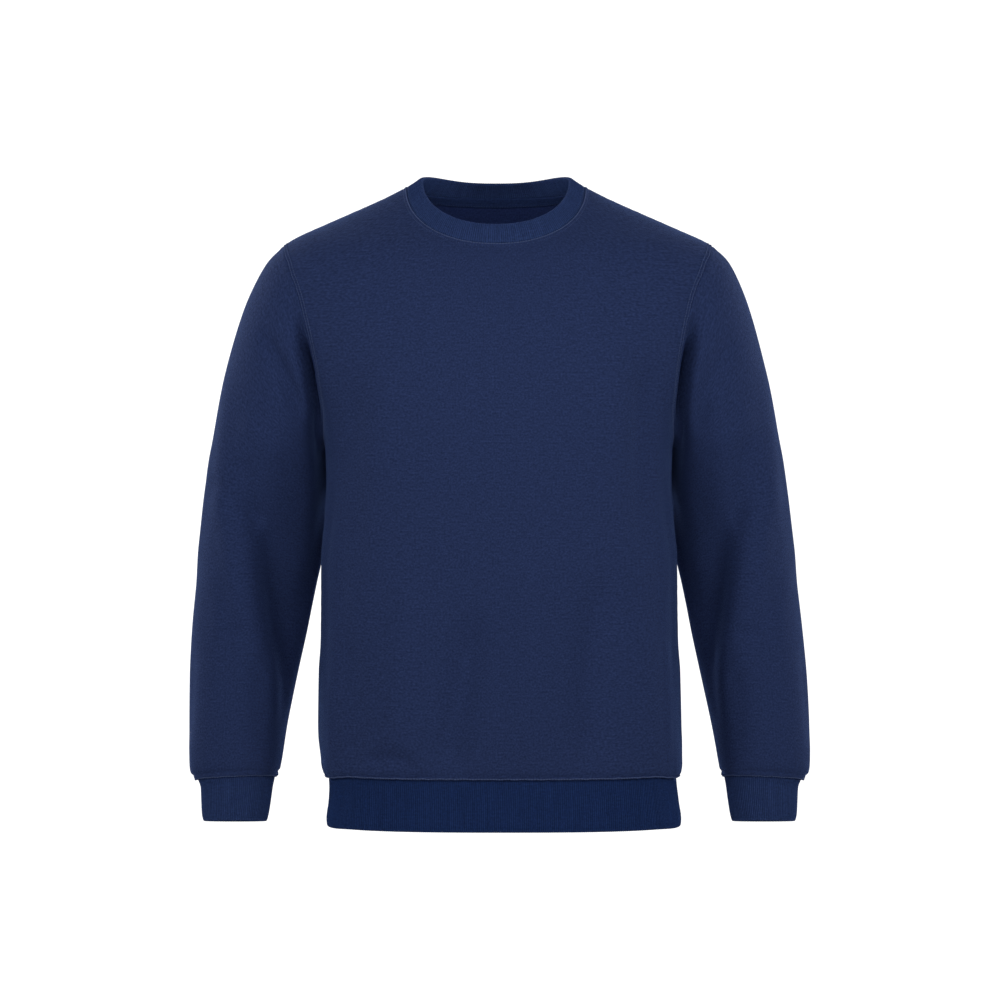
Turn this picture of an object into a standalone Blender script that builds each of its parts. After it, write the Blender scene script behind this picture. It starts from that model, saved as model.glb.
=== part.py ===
"""Crewneck sweatshirt, size M, filled out as on a body but hollow.

Every cut piece is one closed shell of cloth. The tables give the outer face of
the cloth, in millimetres, and each wall is solidified inwards from it.

The garment faces -Y, and +X is the wearer's left. The origin lies just below
the line between the two points where the shoulder seams meet the collar: the
wearer's neck and shoulders hold the garment up there.
"""

from collections import namedtuple

import bpy
import numpy as np

MM = 0.001

# ---------------------------------------------------------------- cloth
FLEECE = 2.0                 # wall of the body and the sleeves
RIB = 3.0                    # collar, waistband and cuffs: rib folded double
TAPE = 1.0                   # strip inside the back neck

# ---------------------------------------------------------------- clearances
SEAM_GAP = 0.45              # sleeve to armhole
TIP_GAP = 1.1                # sleeve at the shoulder tip, where the walls turn inwards
PANEL_SETBACK = 0.45         # front and back, each from the side and shoulder seams
NECK_GAP = 0.9               # collar to neck seam: the collar leans in over it
TAPE_GAP = 0.5               # tape to back panel

# ---------------------------------------------------------------- seam heights
NECK_SIDE_Z = 2.5            # neck seam where it meets the shoulder seam
NECK_FRONT_Z = -62.5         # neck seam at the centre front
NECK_BACK_Z = -2.0           # neck seam at the centre back
NECK_SQUARE = 2.2            # the neckline's curve in the front view
SHOULDER_TIP_Z = -60.0       # shoulder seam where it meets the armhole
UNDERARM_Z = -266.0          # lowest point of the armhole
HEM_SEAM_Z = -611.5          # seam of the body and its waistband
ARMHOLE_MIDDLE_Y = 3.0
ARMHOLE_HALF_DEPTH = 69.0    # front to back, halved

# ---------------------------------------------------------------- collar, tape
COLLAR_TOP_HALF_WIDTH = 77.8
COLLAR_TOP_FRONT_Y = -74.0
COLLAR_TOP_BACK_Y = 77.0
COLLAR_TOP_MIDDLE_Y = 0.0
COLLAR_TOP_SQUARE = 2.4
COLLAR_TOP_SIDE_Z = 12.0
COLLAR_TOP_FRONT_Z = -42.0
COLLAR_TOP_BACK_Z = 13.0
COLLAR_BACK_LIFT = 5.0       # the top edge is highest just behind the shoulder seams
COLLAR_BELLY = 1.6           # the band rounds outwards in front, and hollows at the sides
TAPE_WIDTH = 9.0
TAPE_DROP = 1.5              # its upper edge below the neck seam

# ---------------------------------------------------------------- mesh density
PANEL_COLUMNS = 10           # across half a panel; the tape has the same
BORDER_SHARE = 0.97          # a narrow last column along the side seam
HEM_STEPS = (0.0, 2.0, 7.0)  # rows close above the hem seam, where the body curls in
SIDE_ROWS = 7                # from there to the underarm
ARMHOLE_ROWS = 9             # from the underarm to the shoulder tip
SHOULDER_ROWS = 4            # from the shoulder tip to the neck
EDGE_STEP = 2.0              # a narrow last row along the neck
ROW_DIP = 2.6                # how late a row above the underarm rises to its edge
NECK_SHARE_POWER = 6         # how late the rows take on the neckline's own curve
SLEEVE_ROWS = 11             # between the armhole and the fold over the cuff
CUFF_ROWS = 6
CUFF_COLUMNS = 20
BAND_COLUMNS = 10            # a quarter of the waistband

# ---------------------------------------------------------------- the body
# Level sections of the body. Above the shoulder tips and inside the armholes
# the side of a section is only a guide: the panels are cut away there.
Section = namedtuple("Section", "z half_width front_y back_y middle_y square")
BODY = (
    Section(-611.5, 181.5, -114.0, 108.5, -5.0, 2.7),
    Section(-610.0, 185.5, -118.0, 112.0, -5.0, 2.7),
    Section(-606.0, 188.2, -121.0, 114.5, -5.0, 2.7),
    Section(-598.0, 189.8, -122.5, 115.5, -5.0, 2.65),
    Section(-566.0, 190.5, -123.5, 115.0, -6.0, 2.6),
    Section(-516.0, 189.8, -124.0, 112.5, -6.0, 2.55),
    Section(-440.0, 187.2, -125.5, 110.0, -6.0, 2.5),
    Section(-388.0, 186.2, -127.0, 111.0, -6.0, 2.45),
    Section(-345.0, 182.5, -128.5, 113.5, -6.0, 2.4),
    Section(-310.0, 180.2, -129.5, 116.0, -6.0, 2.4),
    Section(-290.0, 179.8, -130.0, 117.0, -6.0, 2.4),
    Section(-276.0, 180.6, -130.0, 117.5, -6.0, 2.4),
    Section(-266.0, 182.0, -130.0, 118.0, -6.0, 2.4),
    Section(-250.0, 184.6, -129.7, 118.0, -6.0, 2.4),
    Section(-231.0, 189.0, -129.0, 118.0, -5.0, 2.4),
    Section(-210.0, 198.0, -127.0, 118.5, -5.0, 2.35),
    Section(-187.0, 208.0, -124.0, 118.5, -4.0, 2.3),
    Section(-160.0, 222.0, -119.0, 118.0, -3.0, 2.2),
    Section(-126.0, 237.0, -110.0, 116.0, -1.0, 2.1),
    Section(-97.0, 245.0, -99.0, 113.0, 0.0, 2.0),
    Section(-75.0, 238.5, -88.0, 110.0, 2.0, 2.0),
    Section(-60.0, 225.0, -78.0, 107.0, 4.0, 2.0),
    Section(-51.5, 210.7, -70.5, 105.0, 5.0, 2.0),
    Section(-43.0, 191.9, -63.0, 102.0, 5.0, 2.0),
    Section(-26.2, 153.6, -49.0, 97.0, 4.5, 2.0),
    Section(-9.5, 116.2, -34.0, 91.0, 3.5, 2.0),
    Section(4.0, 90.0, -20.0, 85.0, 3.0, 2.0),
)
WAISTBAND = (
    Section(-612.0, 182.2, -115.0, 109.0, -5.0, 2.7),
    Section(-620.0, 182.6, -115.5, 109.5, -5.0, 2.7),
    Section(-640.0, 184.2, -116.5, 110.5, -5.0, 2.7),
    Section(-656.0, 185.6, -117.0, 111.0, -5.0, 2.7),
    Section(-663.0, 184.2, -115.8, 109.8, -5.0, 2.7),
)
COLLAR_TOP = Section(
    COLLAR_TOP_SIDE_Z,
    COLLAR_TOP_HALF_WIDTH,
    COLLAR_TOP_FRONT_Y,
    COLLAR_TOP_BACK_Y,
    COLLAR_TOP_MIDDLE_Y,
    COLLAR_TOP_SQUARE,
)

# ---------------------------------------------------------------- the sleeves
# Sections of the left sleeve from the armhole to the cuff seam. Each lies in
# the plane through its outer point, its inner point and the Y direction, then
# leans forward by tilt, in degrees. The first planes fan out from the underarm,
# and the last three curl in over the cuff.
Ring = namedtuple("Ring", "outer_x outer_z inner_x inner_z middle_y half_depth tilt")
SLEEVE = (
    Ring(225.0, -60.0, 183.0, -266.0, 3.0, 69.0, 0.0),
    Ring(240.5, -75.0, 185.0, -270.5, 7.0, 69.0, 0.0),
    Ring(260.2, -112.4, 185.0, -277.0, 13.0, 69.0, 0.0),
    Ring(276.4, -162.8, 184.0, -287.0, 19.0, 69.0, 0.0),
    Ring(288.4, -213.2, 182.6, -302.0, 25.0, 68.0, 0.0),
    Ring(297.7, -263.6, 181.8, -325.0, 30.0, 67.0, 0.0),
    Ring(305.0, -314.0, 182.8, -353.0, 34.0, 66.0, 0.0),
    Ring(310.6, -364.4, 186.0, -384.0, 36.0, 64.0, 0.0),
    Ring(315.9, -414.8, 193.4, -418.0, 36.0, 61.0, 1.0),
    Ring(319.7, -465.2, 203.8, -467.0, 33.0, 56.0, 3.0),
    Ring(322.8, -515.6, 214.4, -516.5, 27.0, 51.0, 5.0),
    Ring(324.8, -566.0, 224.4, -566.5, 19.0, 46.0, 6.0),
    Ring(324.6, -600.0, 229.8, -600.0, 14.0, 41.5, 7.0),
    Ring(323.2, -609.0, 231.6, -609.0, 12.5, 39.0, 7.0),
    Ring(319.8, -615.0, 234.6, -615.0, 11.8, 35.0, 7.0),
    Ring(316.5, -617.0, 237.0, -617.0, 11.5, 32.0, 7.0),
)
SLEEVE_FIRST = 0.25          # place of the first row below the seam, in sections
SLEEVE_SECOND = 0.9
SLEEVE_FOLD = 12             # the section from which each table row is a mesh row
ARMHOLE_REACH = 3.0          # sections over which the armhole's own line dies out
CUFF = (
    Ring(316.6, -617.6, 236.8, -617.6, 11.4, 31.8, 7.0),
    Ring(313.8, -626.0, 238.6, -626.0, 10.4, 29.0, 7.0),
    Ring(313.0, -641.0, 240.6, -641.0, 8.6, 28.0, 7.0),
    Ring(312.0, -655.0, 242.8, -655.0, 7.0, 27.0, 7.0),
    Ring(310.6, -662.5, 244.8, -662.5, 6.0, 25.5, 7.0),
)

# ---------------------------------------------------------------- colours
FLEECE_NAVY = (0.020, 0.031, 0.084)
RIB_NAVY = (0.016, 0.028, 0.078)
TAPE_NAVY = (0.024, 0.034, 0.085)
CLOTH_ROUGHNESS = 0.9


def smooth_column(places, values):
    """A monotone cubic through the values, so that no column overshoots."""
    steps = np.diff(places)
    slopes = np.diff(values) / steps
    tangents = np.concatenate([slopes[:1], np.zeros(len(places) - 2), slopes[-1:]])
    for i in range(1, len(places) - 1):
        before, after = slopes[i - 1], slopes[i]
        if before * after > 0:
            weights = steps[i - 1] + 2 * steps[i], 2 * steps[i - 1] + steps[i]
            tangents[i] = sum(weights) / (weights[0] / after + weights[1] / before)

    def read(at):
        at = np.clip(at, places[0], places[-1])
        i = np.clip(np.searchsorted(places, at) - 1, 0, len(steps) - 1)
        t = (at - places[i]) / steps[i]
        return (
            (2 * t**3 - 3 * t**2 + 1) * values[i]
            + (t**3 - 2 * t**2 + t) * steps[i] * tangents[i]
            + (3 * t**2 - 2 * t**3) * values[i + 1]
            + (t**3 - t**2) * steps[i] * tangents[i + 1]
        )

    return read


def smooth_table(rows, key=None):
    """Reads all columns of a table at any height, or at any place along its rows."""
    places = np.arange(len(rows), dtype=float)
    if key:
        rows = sorted(rows, key=lambda row: getattr(row, key))
        places = np.array([getattr(row, key) for row in rows])
    columns = {
        name: smooth_column(places, np.array([getattr(row, name) for row in rows]))
        for name in rows[0]._fields
    }
    return lambda at: type(rows[0])(**{name: read(at) for name, read in columns.items()})


body_section = smooth_table(BODY, key="z")
sleeve_ring = smooth_table(SLEEVE)
cuff_ring = smooth_table(CUFF)


def depth_of(section, front):
    if front:
        return section.middle_y - section.front_y
    return section.back_y - section.middle_y


def reach_at(section, x, front):
    """How far forward or back of its middle a level section lies at x."""
    share = np.minimum(x / section.half_width, 1) ** section.square
    return depth_of(section, front) * (1 - share) ** (1 / section.square)


def section_point(section, angle, z, front):
    """A point of a level section. The angle is 0 at the centre and 90 at the side."""
    angle = np.radians(angle)
    across = np.abs(np.sin(angle) / section.half_width) ** section.square
    along = np.abs(np.cos(angle) / depth_of(section, front)) ** section.square
    radius = (across + along) ** (-1 / section.square)
    y = section.middle_y + radius * np.cos(angle) * (-1 if front else 1)
    return np.array([radius * np.sin(angle), y, z])


def body_point(angle, z, front):
    return section_point(body_section(z), angle, z, front)


def body_normal(angle, z, front, step=0.5):
    across = body_point(angle + step, z, front) - body_point(angle - step, z, front)
    upwards = body_point(angle, z + step, front) - body_point(angle, z - step, front)
    normal = np.cross(across, upwards) * (1 if front else -1)
    return normal / np.linalg.norm(normal)


def armhole_edge(turn, front):
    """The angle and height of the body under the armhole seam. The turn runs from
    the shoulder tip, 0, round the front or the back to the underarm, 180."""
    half_height = (SHOULDER_TIP_Z - UNDERARM_Z) / 2
    z = UNDERARM_Z + half_height * (1 + np.cos(np.radians(turn)))
    section = body_section(z)
    side = -1 if front else 1
    y = ARMHOLE_MIDDLE_Y + side * ARMHOLE_HALF_DEPTH * np.sin(np.radians(turn))
    reach = side * (y - section.middle_y)
    share = abs(reach / depth_of(section, front)) ** section.square
    x = section.half_width * (1 - share) ** (1 / section.square)
    return np.degrees(np.arctan2(x, reach)), z


def armhole_point(turn):
    front = turn % 360 <= 180
    angle, z = armhole_edge(turn if front else 360 - turn, front)
    return body_point(angle, z, front)


def neck_rise(turn):
    """How far a neckline has risen from its centre, turn 0, to its side, turn 90."""
    across = np.sin(np.radians(turn)) ** NECK_SQUARE
    return 1 - np.maximum(1 - across, 0) ** (1 / NECK_SQUARE)


def neck_edge(turn, front):
    """The angle and height of the body under the neck seam."""
    centre_z = NECK_FRONT_Z if front else NECK_BACK_Z
    z = centre_z + (NECK_SIDE_Z - centre_z) * neck_rise(turn)
    x = body_section(NECK_SIDE_Z).half_width * np.sin(np.radians(turn))
    return np.degrees(np.arctan2(x, reach_at(body_section(z), x, front))), z


def panel_edge(front):
    """A panel's outer edge, from the waistband to the neck, as angles and heights."""
    side = [HEM_SEAM_Z + step for step in HEM_STEPS]
    step = (UNDERARM_Z - side[-1]) / (SIDE_ROWS + 1)
    side += [side[-1] + step * (row + 1) for row in range(SIDE_ROWS)]
    side.append(UNDERARM_Z)
    turns = np.linspace(180, 0, ARMHOLE_ROWS + 2)[1:-1]
    shoulder = np.linspace(SHOULDER_TIP_Z, NECK_SIDE_Z - EDGE_STEP, SHOULDER_ROWS)
    return (
        [(90.0, z) for z in side]
        + [armhole_edge(turn, front) for turn in turns]
        + [(90.0, z) for z in [*shoulder, NECK_SIDE_Z]]
    )


def panel_rows(front):
    """Half a body panel, row by row. A row is level below the underarm and, above
    it, dips towards the centre more and more, until the last is the neckline."""
    edge = panel_edge(front)
    ends = np.array([body_point(angle, z, front) for angle, z in edge])
    run = np.append(0, np.cumsum(np.linalg.norm(np.diff(ends, axis=0), axis=1)))
    underarm = run[[z for _, z in edge].index(UNDERARM_Z)]
    shares = np.clip((run - underarm) / (run[-1] - underarm), 0, 1)
    across = np.append(np.arange(PANEL_COLUMNS) / PANEL_COLUMNS, [BORDER_SHARE, 1])
    neck_angles, neck_heights = neck_edge(across * 90, front)
    dip = np.sin(np.radians(across * 90)) ** ROW_DIP
    rows = []
    for (end_angle, end_z), share in zip(edge, shares):
        centre_z = min(end_z, UNDERARM_Z) + (neck_heights[0] - UNDERARM_Z) * share
        like_neck = share**NECK_SHARE_POWER
        angles = end_angle * (across + (neck_angles / 90 - across) * like_neck)
        rises = dip + (neck_rise(across * 90) - dip) * like_neck
        heights = centre_z + (end_z - centre_z) * rises
        rows.append([body_point(angle, z, front) for angle, z in zip(angles, heights)])
    return np.array(rows)


def set_back(rows, front):
    """Ends a panel just short of its side and shoulder seams, but not its armhole."""
    rows = rows.copy()
    middles = np.array([body_section(z).middle_y for z in rows[:, -1, 2]])
    on_seam = np.isclose(rows[:, -1, 1], middles)
    rows[on_seam, -1, 1] += PANEL_SETBACK * (-1 if front else 1)
    return rows


def tube_point(ring, turn):
    """A point of a sleeve section. The turn is 0 outside, 90 in front, 180 inside."""
    turn, tilt = np.radians(turn), np.radians(ring.tilt)
    outer = np.array([ring.outer_x, ring.middle_y, ring.outer_z])
    inner = np.array([ring.inner_x, ring.middle_y, ring.inner_z])
    forward = np.array([0, -np.cos(tilt), np.sin(tilt)]) * ring.half_depth
    return (outer + inner) / 2 + (outer - inner) / 2 * np.cos(turn) + forward * np.sin(turn)


def sleeve_point(turn, place):
    """A sleeve is its table's tube, drawn to the armhole's own line at the top."""
    point = tube_point(sleeve_ring(place), turn)
    if place < ARMHOLE_REACH:
        offset = armhole_point(turn) - tube_point(SLEEVE[0], turn)
        point = point + offset * (1 - place / ARMHOLE_REACH) ** 2
    return point


def sleeve_rows():
    turns = np.linspace(0, 360, 2 * (ARMHOLE_ROWS + 1), endpoint=False)
    places = np.linspace(SLEEVE_SECOND, SLEEVE_FOLD, SLEEVE_ROWS)
    places = np.concatenate([[SLEEVE_FIRST], places, np.arange(SLEEVE_FOLD + 1, len(SLEEVE))])
    rows = [[sleeve_point(turn, place) for turn in turns] for place in places]
    seam = []
    for turn, below in zip(turns, rows[0]):
        edge = armhole_point(turn)
        to_tip = (0.5 + 0.5 * np.cos(np.radians(turn))) ** 4
        gap = SEAM_GAP + (TIP_GAP - SEAM_GAP) * to_tip
        seam.append(edge + (below - edge) / np.linalg.norm(below - edge) * gap)
    return np.array([seam] + rows)


def cuff_rows():
    turns = np.linspace(0, 360, CUFF_COLUMNS, endpoint=False)
    places = np.linspace(0, len(CUFF) - 1, CUFF_ROWS)
    return np.array([[tube_point(cuff_ring(place), turn) for turn in turns] for place in places])


def waistband_rows():
    """Half the waistband, from the centre front round one side to the centre back."""
    angles = np.linspace(0, 90, BAND_COLUMNS + 1)
    around = [(a, True) for a in angles] + [(a, False) for a in angles[-2::-1]]
    return np.array([[section_point(row, a, row.z, front) for a, front in around] for row in WAISTBAND])


def collar_top_point(turn, front):
    centre_z = COLLAR_TOP_FRONT_Z if front else COLLAR_TOP_BACK_Z
    z = centre_z + (COLLAR_TOP_SIDE_Z - centre_z) * neck_rise(turn)
    if not front:
        z += COLLAR_BACK_LIFT * np.sin(np.radians(2 * turn)) * np.sin(np.radians(turn)) ** 2
    x = COLLAR_TOP_HALF_WIDTH * np.sin(np.radians(turn))
    reach = reach_at(COLLAR_TOP, x, front)
    return np.array([x, COLLAR_TOP_MIDDLE_Y + reach * (-1 if front else 1), z])


def collar_rows():
    """Half the collar, from its seam up. Its seam's points are the panels' own."""
    turns = np.linspace(0, 90, PANEL_COLUMNS + 1)
    columns = []
    for turn, front in [(t, True) for t in turns] + [(t, False) for t in turns[-2::-1]]:
        side = 1 if front else -1
        seam = body_point(*neck_edge(turn, front), front)
        climb = collar_top_point(turn, front) - seam
        along = np.array([np.cos(np.radians(turn)), np.sin(np.radians(turn)) * side, 0])
        outwards = np.cross(along, climb) * side
        outwards *= COLLAR_BELLY * np.cos(np.radians(2 * turn)) / np.linalg.norm(outwards)
        start = NECK_GAP / np.linalg.norm(climb)
        shares = np.linspace(start, 1, 5)
        columns.append([seam + climb * s + outwards * np.sin(np.pi * s) for s in shares])
    return np.array(columns).transpose(1, 0, 2)


def tape_rows():
    """The strip inside the back panel, moved in from the panel's own points. It
    stops one column short of the shoulder seams."""
    panel = panel_rows(False)[::-1, :PANEL_COLUMNS].transpose(1, 0, 2)
    rows = []
    for drop in TAPE_DROP + TAPE_WIDTH * np.array([0, 0.5, 1]):
        row = []
        for column in panel:
            run = np.append(0, np.cumsum(np.linalg.norm(np.diff(column, axis=0), axis=1)))
            point = np.array([np.interp(drop, run, column[:, axis]) for axis in range(3)])
            angle = np.degrees(np.arctan2(point[0], point[1] - body_section(point[2]).middle_y))
            inwards = -body_normal(angle, point[2], False) * (FLEECE + TAPE_GAP)
            row.append(point + inwards)
        rows.append(row)
    rows = np.array(rows)
    rows[:, 0, 0] = 0
    return rows


def cloth(name, rows, wall, finish, closed=False, flip=False):
    """Quads over the rows, and a wall solidified inwards. Rows that aren't closed
    rings are half a piece, and are mirrored."""
    count, width = rows.shape[:2]
    faces = []
    for row in range(count - 1):
        for column in range(width if closed else width - 1):
            here, beside = row * width + column, row * width + (column + 1) % width
            face = (here, beside, beside + width, here + width)
            faces.append(face[::-1] if flip else face)
    mesh = bpy.data.meshes.new(name)
    mesh.from_pydata((rows.reshape(-1, 3) * MM).tolist(), [], faces)
    mesh.shade_smooth()
    mesh.materials.append(finish)
    piece = bpy.data.objects.new(name, mesh)
    garment.objects.link(piece)
    if not closed:
        mirror = piece.modifiers.new("other_half", "MIRROR")
        mirror.merge_threshold = 0.0001
    wall_maker = piece.modifiers.new("cloth_wall", "SOLIDIFY")
    wall_maker.thickness = wall * MM
    wall_maker.offset = -1


def material(name, colour):
    made = bpy.data.materials.new(name)
    made.use_nodes = True
    shader = made.node_tree.nodes["Principled BSDF"]
    shader.inputs["Base Color"].default_value = (*colour, 1)
    shader.inputs["Roughness"].default_value = CLOTH_ROUGHNESS
    shader.inputs["Metallic"].default_value = 0
    return made


for old in list(bpy.data.objects):
    bpy.data.objects.remove(old, do_unlink=True)
garment = bpy.data.collections.new("crewneck_sweatshirt")
bpy.context.scene.collection.children.link(garment)

fleece = material("fleece_navy", FLEECE_NAVY)
rib = material("rib_navy", RIB_NAVY)
tape = material("tape_navy", TAPE_NAVY)

cloth("front", set_back(panel_rows(True), True), FLEECE, fleece)
cloth("back", set_back(panel_rows(False), False), FLEECE, fleece, flip=True)
cloth("collar", collar_rows(), RIB, rib)
cloth("waistband", waistband_rows(), RIB, rib, flip=True)
cloth("neck_tape", tape_rows(), TAPE, tape)
for side, sign in (("left", 1), ("right", -1)):
    mirrored = np.array([sign, 1, 1])
    cloth(f"sleeve_{side}", sleeve_rows() * mirrored, FLEECE, fleece, closed=True, flip=sign < 0)
    cloth(f"cuff_{side}", cuff_rows() * mirrored, RIB, rib, closed=True, flip=sign < 0)
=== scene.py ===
"""Looks for the crewneck sweatshirt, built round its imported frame.

The tables give the outer face of the cloth in millimetres. They keep within 4 mm of
the frame's own form: further out along the sleeves and at the hem, and further in at
the body's lower sides. Every piece is laid finely over that, and its creases, seams,
rib and stitches are added. The garment faces -Y, and +X is the wearer's left. A
bearing is an angle round the body or the neck: 0 at the centre front, 90 at the
wearer's left, 180 at the centre back.
"""

from collections import namedtuple

import bpy
import numpy as np
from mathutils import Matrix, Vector, kdtree
from mathutils.geometry import delaunay_2d_cdt


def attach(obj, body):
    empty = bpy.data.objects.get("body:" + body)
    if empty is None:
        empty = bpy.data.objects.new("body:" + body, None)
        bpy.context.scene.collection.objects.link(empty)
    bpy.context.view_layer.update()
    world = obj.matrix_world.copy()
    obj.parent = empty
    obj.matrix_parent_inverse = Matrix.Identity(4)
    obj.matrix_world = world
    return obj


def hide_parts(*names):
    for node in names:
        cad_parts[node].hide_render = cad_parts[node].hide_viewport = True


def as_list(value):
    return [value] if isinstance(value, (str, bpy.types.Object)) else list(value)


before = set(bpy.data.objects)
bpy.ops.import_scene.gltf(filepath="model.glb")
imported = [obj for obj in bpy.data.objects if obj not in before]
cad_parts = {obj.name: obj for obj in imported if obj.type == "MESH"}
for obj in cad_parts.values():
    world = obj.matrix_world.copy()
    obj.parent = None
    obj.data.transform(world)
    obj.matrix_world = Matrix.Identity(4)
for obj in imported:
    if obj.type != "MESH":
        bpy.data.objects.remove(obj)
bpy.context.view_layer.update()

MM = 0.001

# ---------------------------------------------------------------- the form: sizes
FLEECE = 2.0                 # wall of the body and the sleeves
RIB = 3.0                    # collar, waistband and cuffs: rib folded double
TAPE_WALL = 0.5              # strip inside the back neck
NECK_SIDE_Z = 2.5            # neck seam where it meets the shoulder seam
NECK_FRONT_Z = -62.5
NECK_BACK_Z = -2.0
NECK_SQUARE = 2.2            # the neckline's curve in the front view
SHOULDER_TIP_Z = -60.0
UNDERARM_Z = -266.0
HEM_SEAM_Z = -611.5
ARMHOLE_MIDDLE_Y = 3.0
ARMHOLE_HALF_DEPTH = 69.0
COLLAR_TOP_SIDE_Z = 12.3
COLLAR_TOP_FRONT_Z = -42.0
COLLAR_TOP_BACK_Z = 13.6
COLLAR_BACK_LIFT = 6.4       # the top edge is highest just behind the shoulder seams
COLLAR_BELLY = 1.6           # the band rounds outwards in front and behind
COLLAR_HOLLOW = 0.25         # and hollows at the sides, by this share of that
SIDE_SEAM_EASE = 70.0        # below the underarm, where the side seam meets the armhole
ARMHOLE_REACH = 3.0          # sections over which the armhole's own line dies out

# ---------------------------------------------------------------- the form: sections


def table(kind, *rows):
    """Rows of plain numbers, as rows whose columns have names."""
    return tuple(kind(*row) for row in rows)


Section = namedtuple("Section", "z half_width front_y back_y middle_y square")
BODY = table(
    Section,
    (-611.5, 181.5, -117.0, 111.0, -5.0, 2.7),
    (-610.0, 185.5, -119.4, 113.0, -5.0, 2.7),
    (-606.0, 187.6, -121.0, 114.5, -5.0, 2.7),
    (-598.0, 188.9, -122.5, 115.5, -5.0, 2.65),
    (-566.0, 188.8, -123.5, 115.0, -6.0, 2.6),
    (-516.0, 188.1, -124.0, 112.5, -6.0, 2.55),
    (-440.0, 186.5, -125.5, 110.0, -6.0, 2.5),
    (-388.0, 186.2, -127.0, 111.0, -6.0, 2.45),
    (-345.0, 182.5, -128.5, 113.5, -6.0, 2.4),
    (-310.0, 180.6, -129.5, 116.0, -6.0, 2.4),
    (-290.0, 181.0, -130.0, 117.0, -6.0, 2.4),
    (-276.0, 181.6, -130.0, 117.5, -6.0, 2.4),
    (-266.0, 182.4, -130.0, 118.0, -6.0, 2.4),
    (-250.0, 184.6, -129.7, 118.0, -6.0, 2.4),
    (-231.0, 189.0, -129.0, 118.0, -5.0, 2.4),
    (-210.0, 198.0, -127.0, 118.5, -5.0, 2.35),
    (-187.0, 208.0, -124.0, 118.5, -4.0, 2.3),
    (-160.0, 222.0, -119.0, 118.0, -3.0, 2.2),
    (-126.0, 237.0, -110.0, 116.0, -1.0, 2.1),
    (-97.0, 245.0, -99.0, 113.0, 0.0, 2.0),
    (-75.0, 238.5, -88.0, 110.0, 2.0, 2.0),
    (-60.0, 225.0, -78.0, 107.0, 4.0, 2.0),
    (-51.5, 210.7, -70.5, 105.0, 5.0, 2.0),
    (-43.0, 191.9, -63.0, 102.0, 5.0, 2.0),
    (-26.2, 153.6, -49.0, 97.0, 4.5, 2.0),
    (-9.5, 116.2, -34.0, 91.0, 3.5, 2.0),
    (4.0, 90.0, -20.0, 85.0, 3.0, 2.0),
)
WAISTBAND = table(
    Section,
    (-612.0, 181.4, -117.4, 111.2, -5.0, 2.7),
    (-620.0, 181.4, -117.2, 111.0, -5.0, 2.7),
    (-640.0, 182.9, -117.3, 111.0, -5.0, 2.7),
    (-658.0, 185.2, -117.6, 111.4, -5.0, 2.7),
    (-665.2, 184.8, -116.4, 110.4, -5.0, 2.7),
)
COLLAR_TOP = Section(COLLAR_TOP_SIDE_Z, 77.8, -74.0, 77.0, 0.0, 2.4)
Ring = namedtuple("Ring", "outer_x outer_z inner_x inner_z middle_y half_depth tilt")
SLEEVE = table(
    Ring,
    (225.0, -60.0, 183.0, -266.0, 3.0, 69.0, 0.0),
    (241.2, -75.0, 182.6, -270.0, 7.0, 69.0, 0.0),
    (261.1, -112.4, 181.8, -277.0, 13.0, 69.0, 0.0),
    (277.8, -162.8, 181.2, -287.0, 19.0, 69.0, 0.0),
    (290.2, -213.2, 180.8, -302.0, 25.0, 68.0, 0.0),
    (299.6, -263.6, 181.8, -325.0, 30.0, 67.0, 0.0),
    (307.0, -314.0, 182.8, -353.0, 34.0, 66.0, 0.0),
    (312.8, -364.4, 186.0, -384.0, 36.0, 64.0, 0.0),
    (318.4, -414.8, 193.4, -418.0, 36.0, 61.0, 1.0),
    (323.4, -465.2, 203.8, -467.0, 33.0, 56.0, 3.0),
    (326.6, -515.6, 214.4, -516.5, 27.0, 51.0, 5.0),
    (327.6, -566.0, 224.4, -566.5, 19.0, 46.0, 6.0),
    (327.0, -602.0, 229.8, -600.0, 14.0, 41.5, 7.0),
    (326.0, -611.5, 231.6, -609.0, 12.5, 39.0, 7.0),
    (322.4, -617.8, 234.6, -615.0, 11.8, 35.0, 7.0),
    (317.4, -620.0, 237.0, -617.0, 11.5, 32.0, 7.0),
)
CUFF = table(
    Ring,
    (317.4, -620.6, 236.8, -617.6, 11.4, 31.8, 7.0),
    (314.2, -629.0, 238.6, -626.0, 10.4, 29.0, 7.0),
    (313.4, -642.5, 240.6, -641.0, 8.6, 28.0, 7.0),
    (312.6, -656.0, 242.8, -655.5, 7.0, 27.0, 7.0),
    (311.0, -664.0, 244.8, -664.0, 6.0, 25.5, 7.0),
)

# ---------------------------------------------------------------- the stance
STANCE_Z = (-680, -640, -600, -560, -440, -280, -190, -130, -60, 20)
BODY_SHIFT = (5.2, 4.9, 2.9, 0.8, 0.3, -0.2, -1.8, -3.0, -3.2, -3.2)      # mm towards +X
SLEEVE_SHIFT = (0.4, 0.4, 0.7, 0.3, -2.2, -3.2, -3.2, -2.4, -0.6, -1.8)  # outer edges
SHIFT_BODY_X = 195.0         # out to here the body's shift holds
SHIFT_SLEEVE_X = 240.0       # from here out the sleeves' own holds
HEM_SIDE_DROP = 3.5          # the hem seam hangs lower at the sides
HEM_DROP_REACH = 14.0        # how far up and down that is felt
BAND_DROP_SHARE = 0.35       # what is left of it down the band's sides
GROOVE_DEPTH = 11.0          # the front armhole seam sinks between the sleeve and the body
GROOVE_AT = 1.0              # mm outside the seam
GROOVE_INNER = 3.6           # its width towards the body, and towards the sleeve
GROOVE_OUTER = 9.0
GROOVE_TOP_Z = (-128.0, -205.0)      # it starts here, and is full from here down
GROOVE_END_Z = (-262.0, -302.0)      # it fades between these
GROOVE_FORWARDS = (5.0, 45.0)        # mm towards the front, between which it grows
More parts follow.
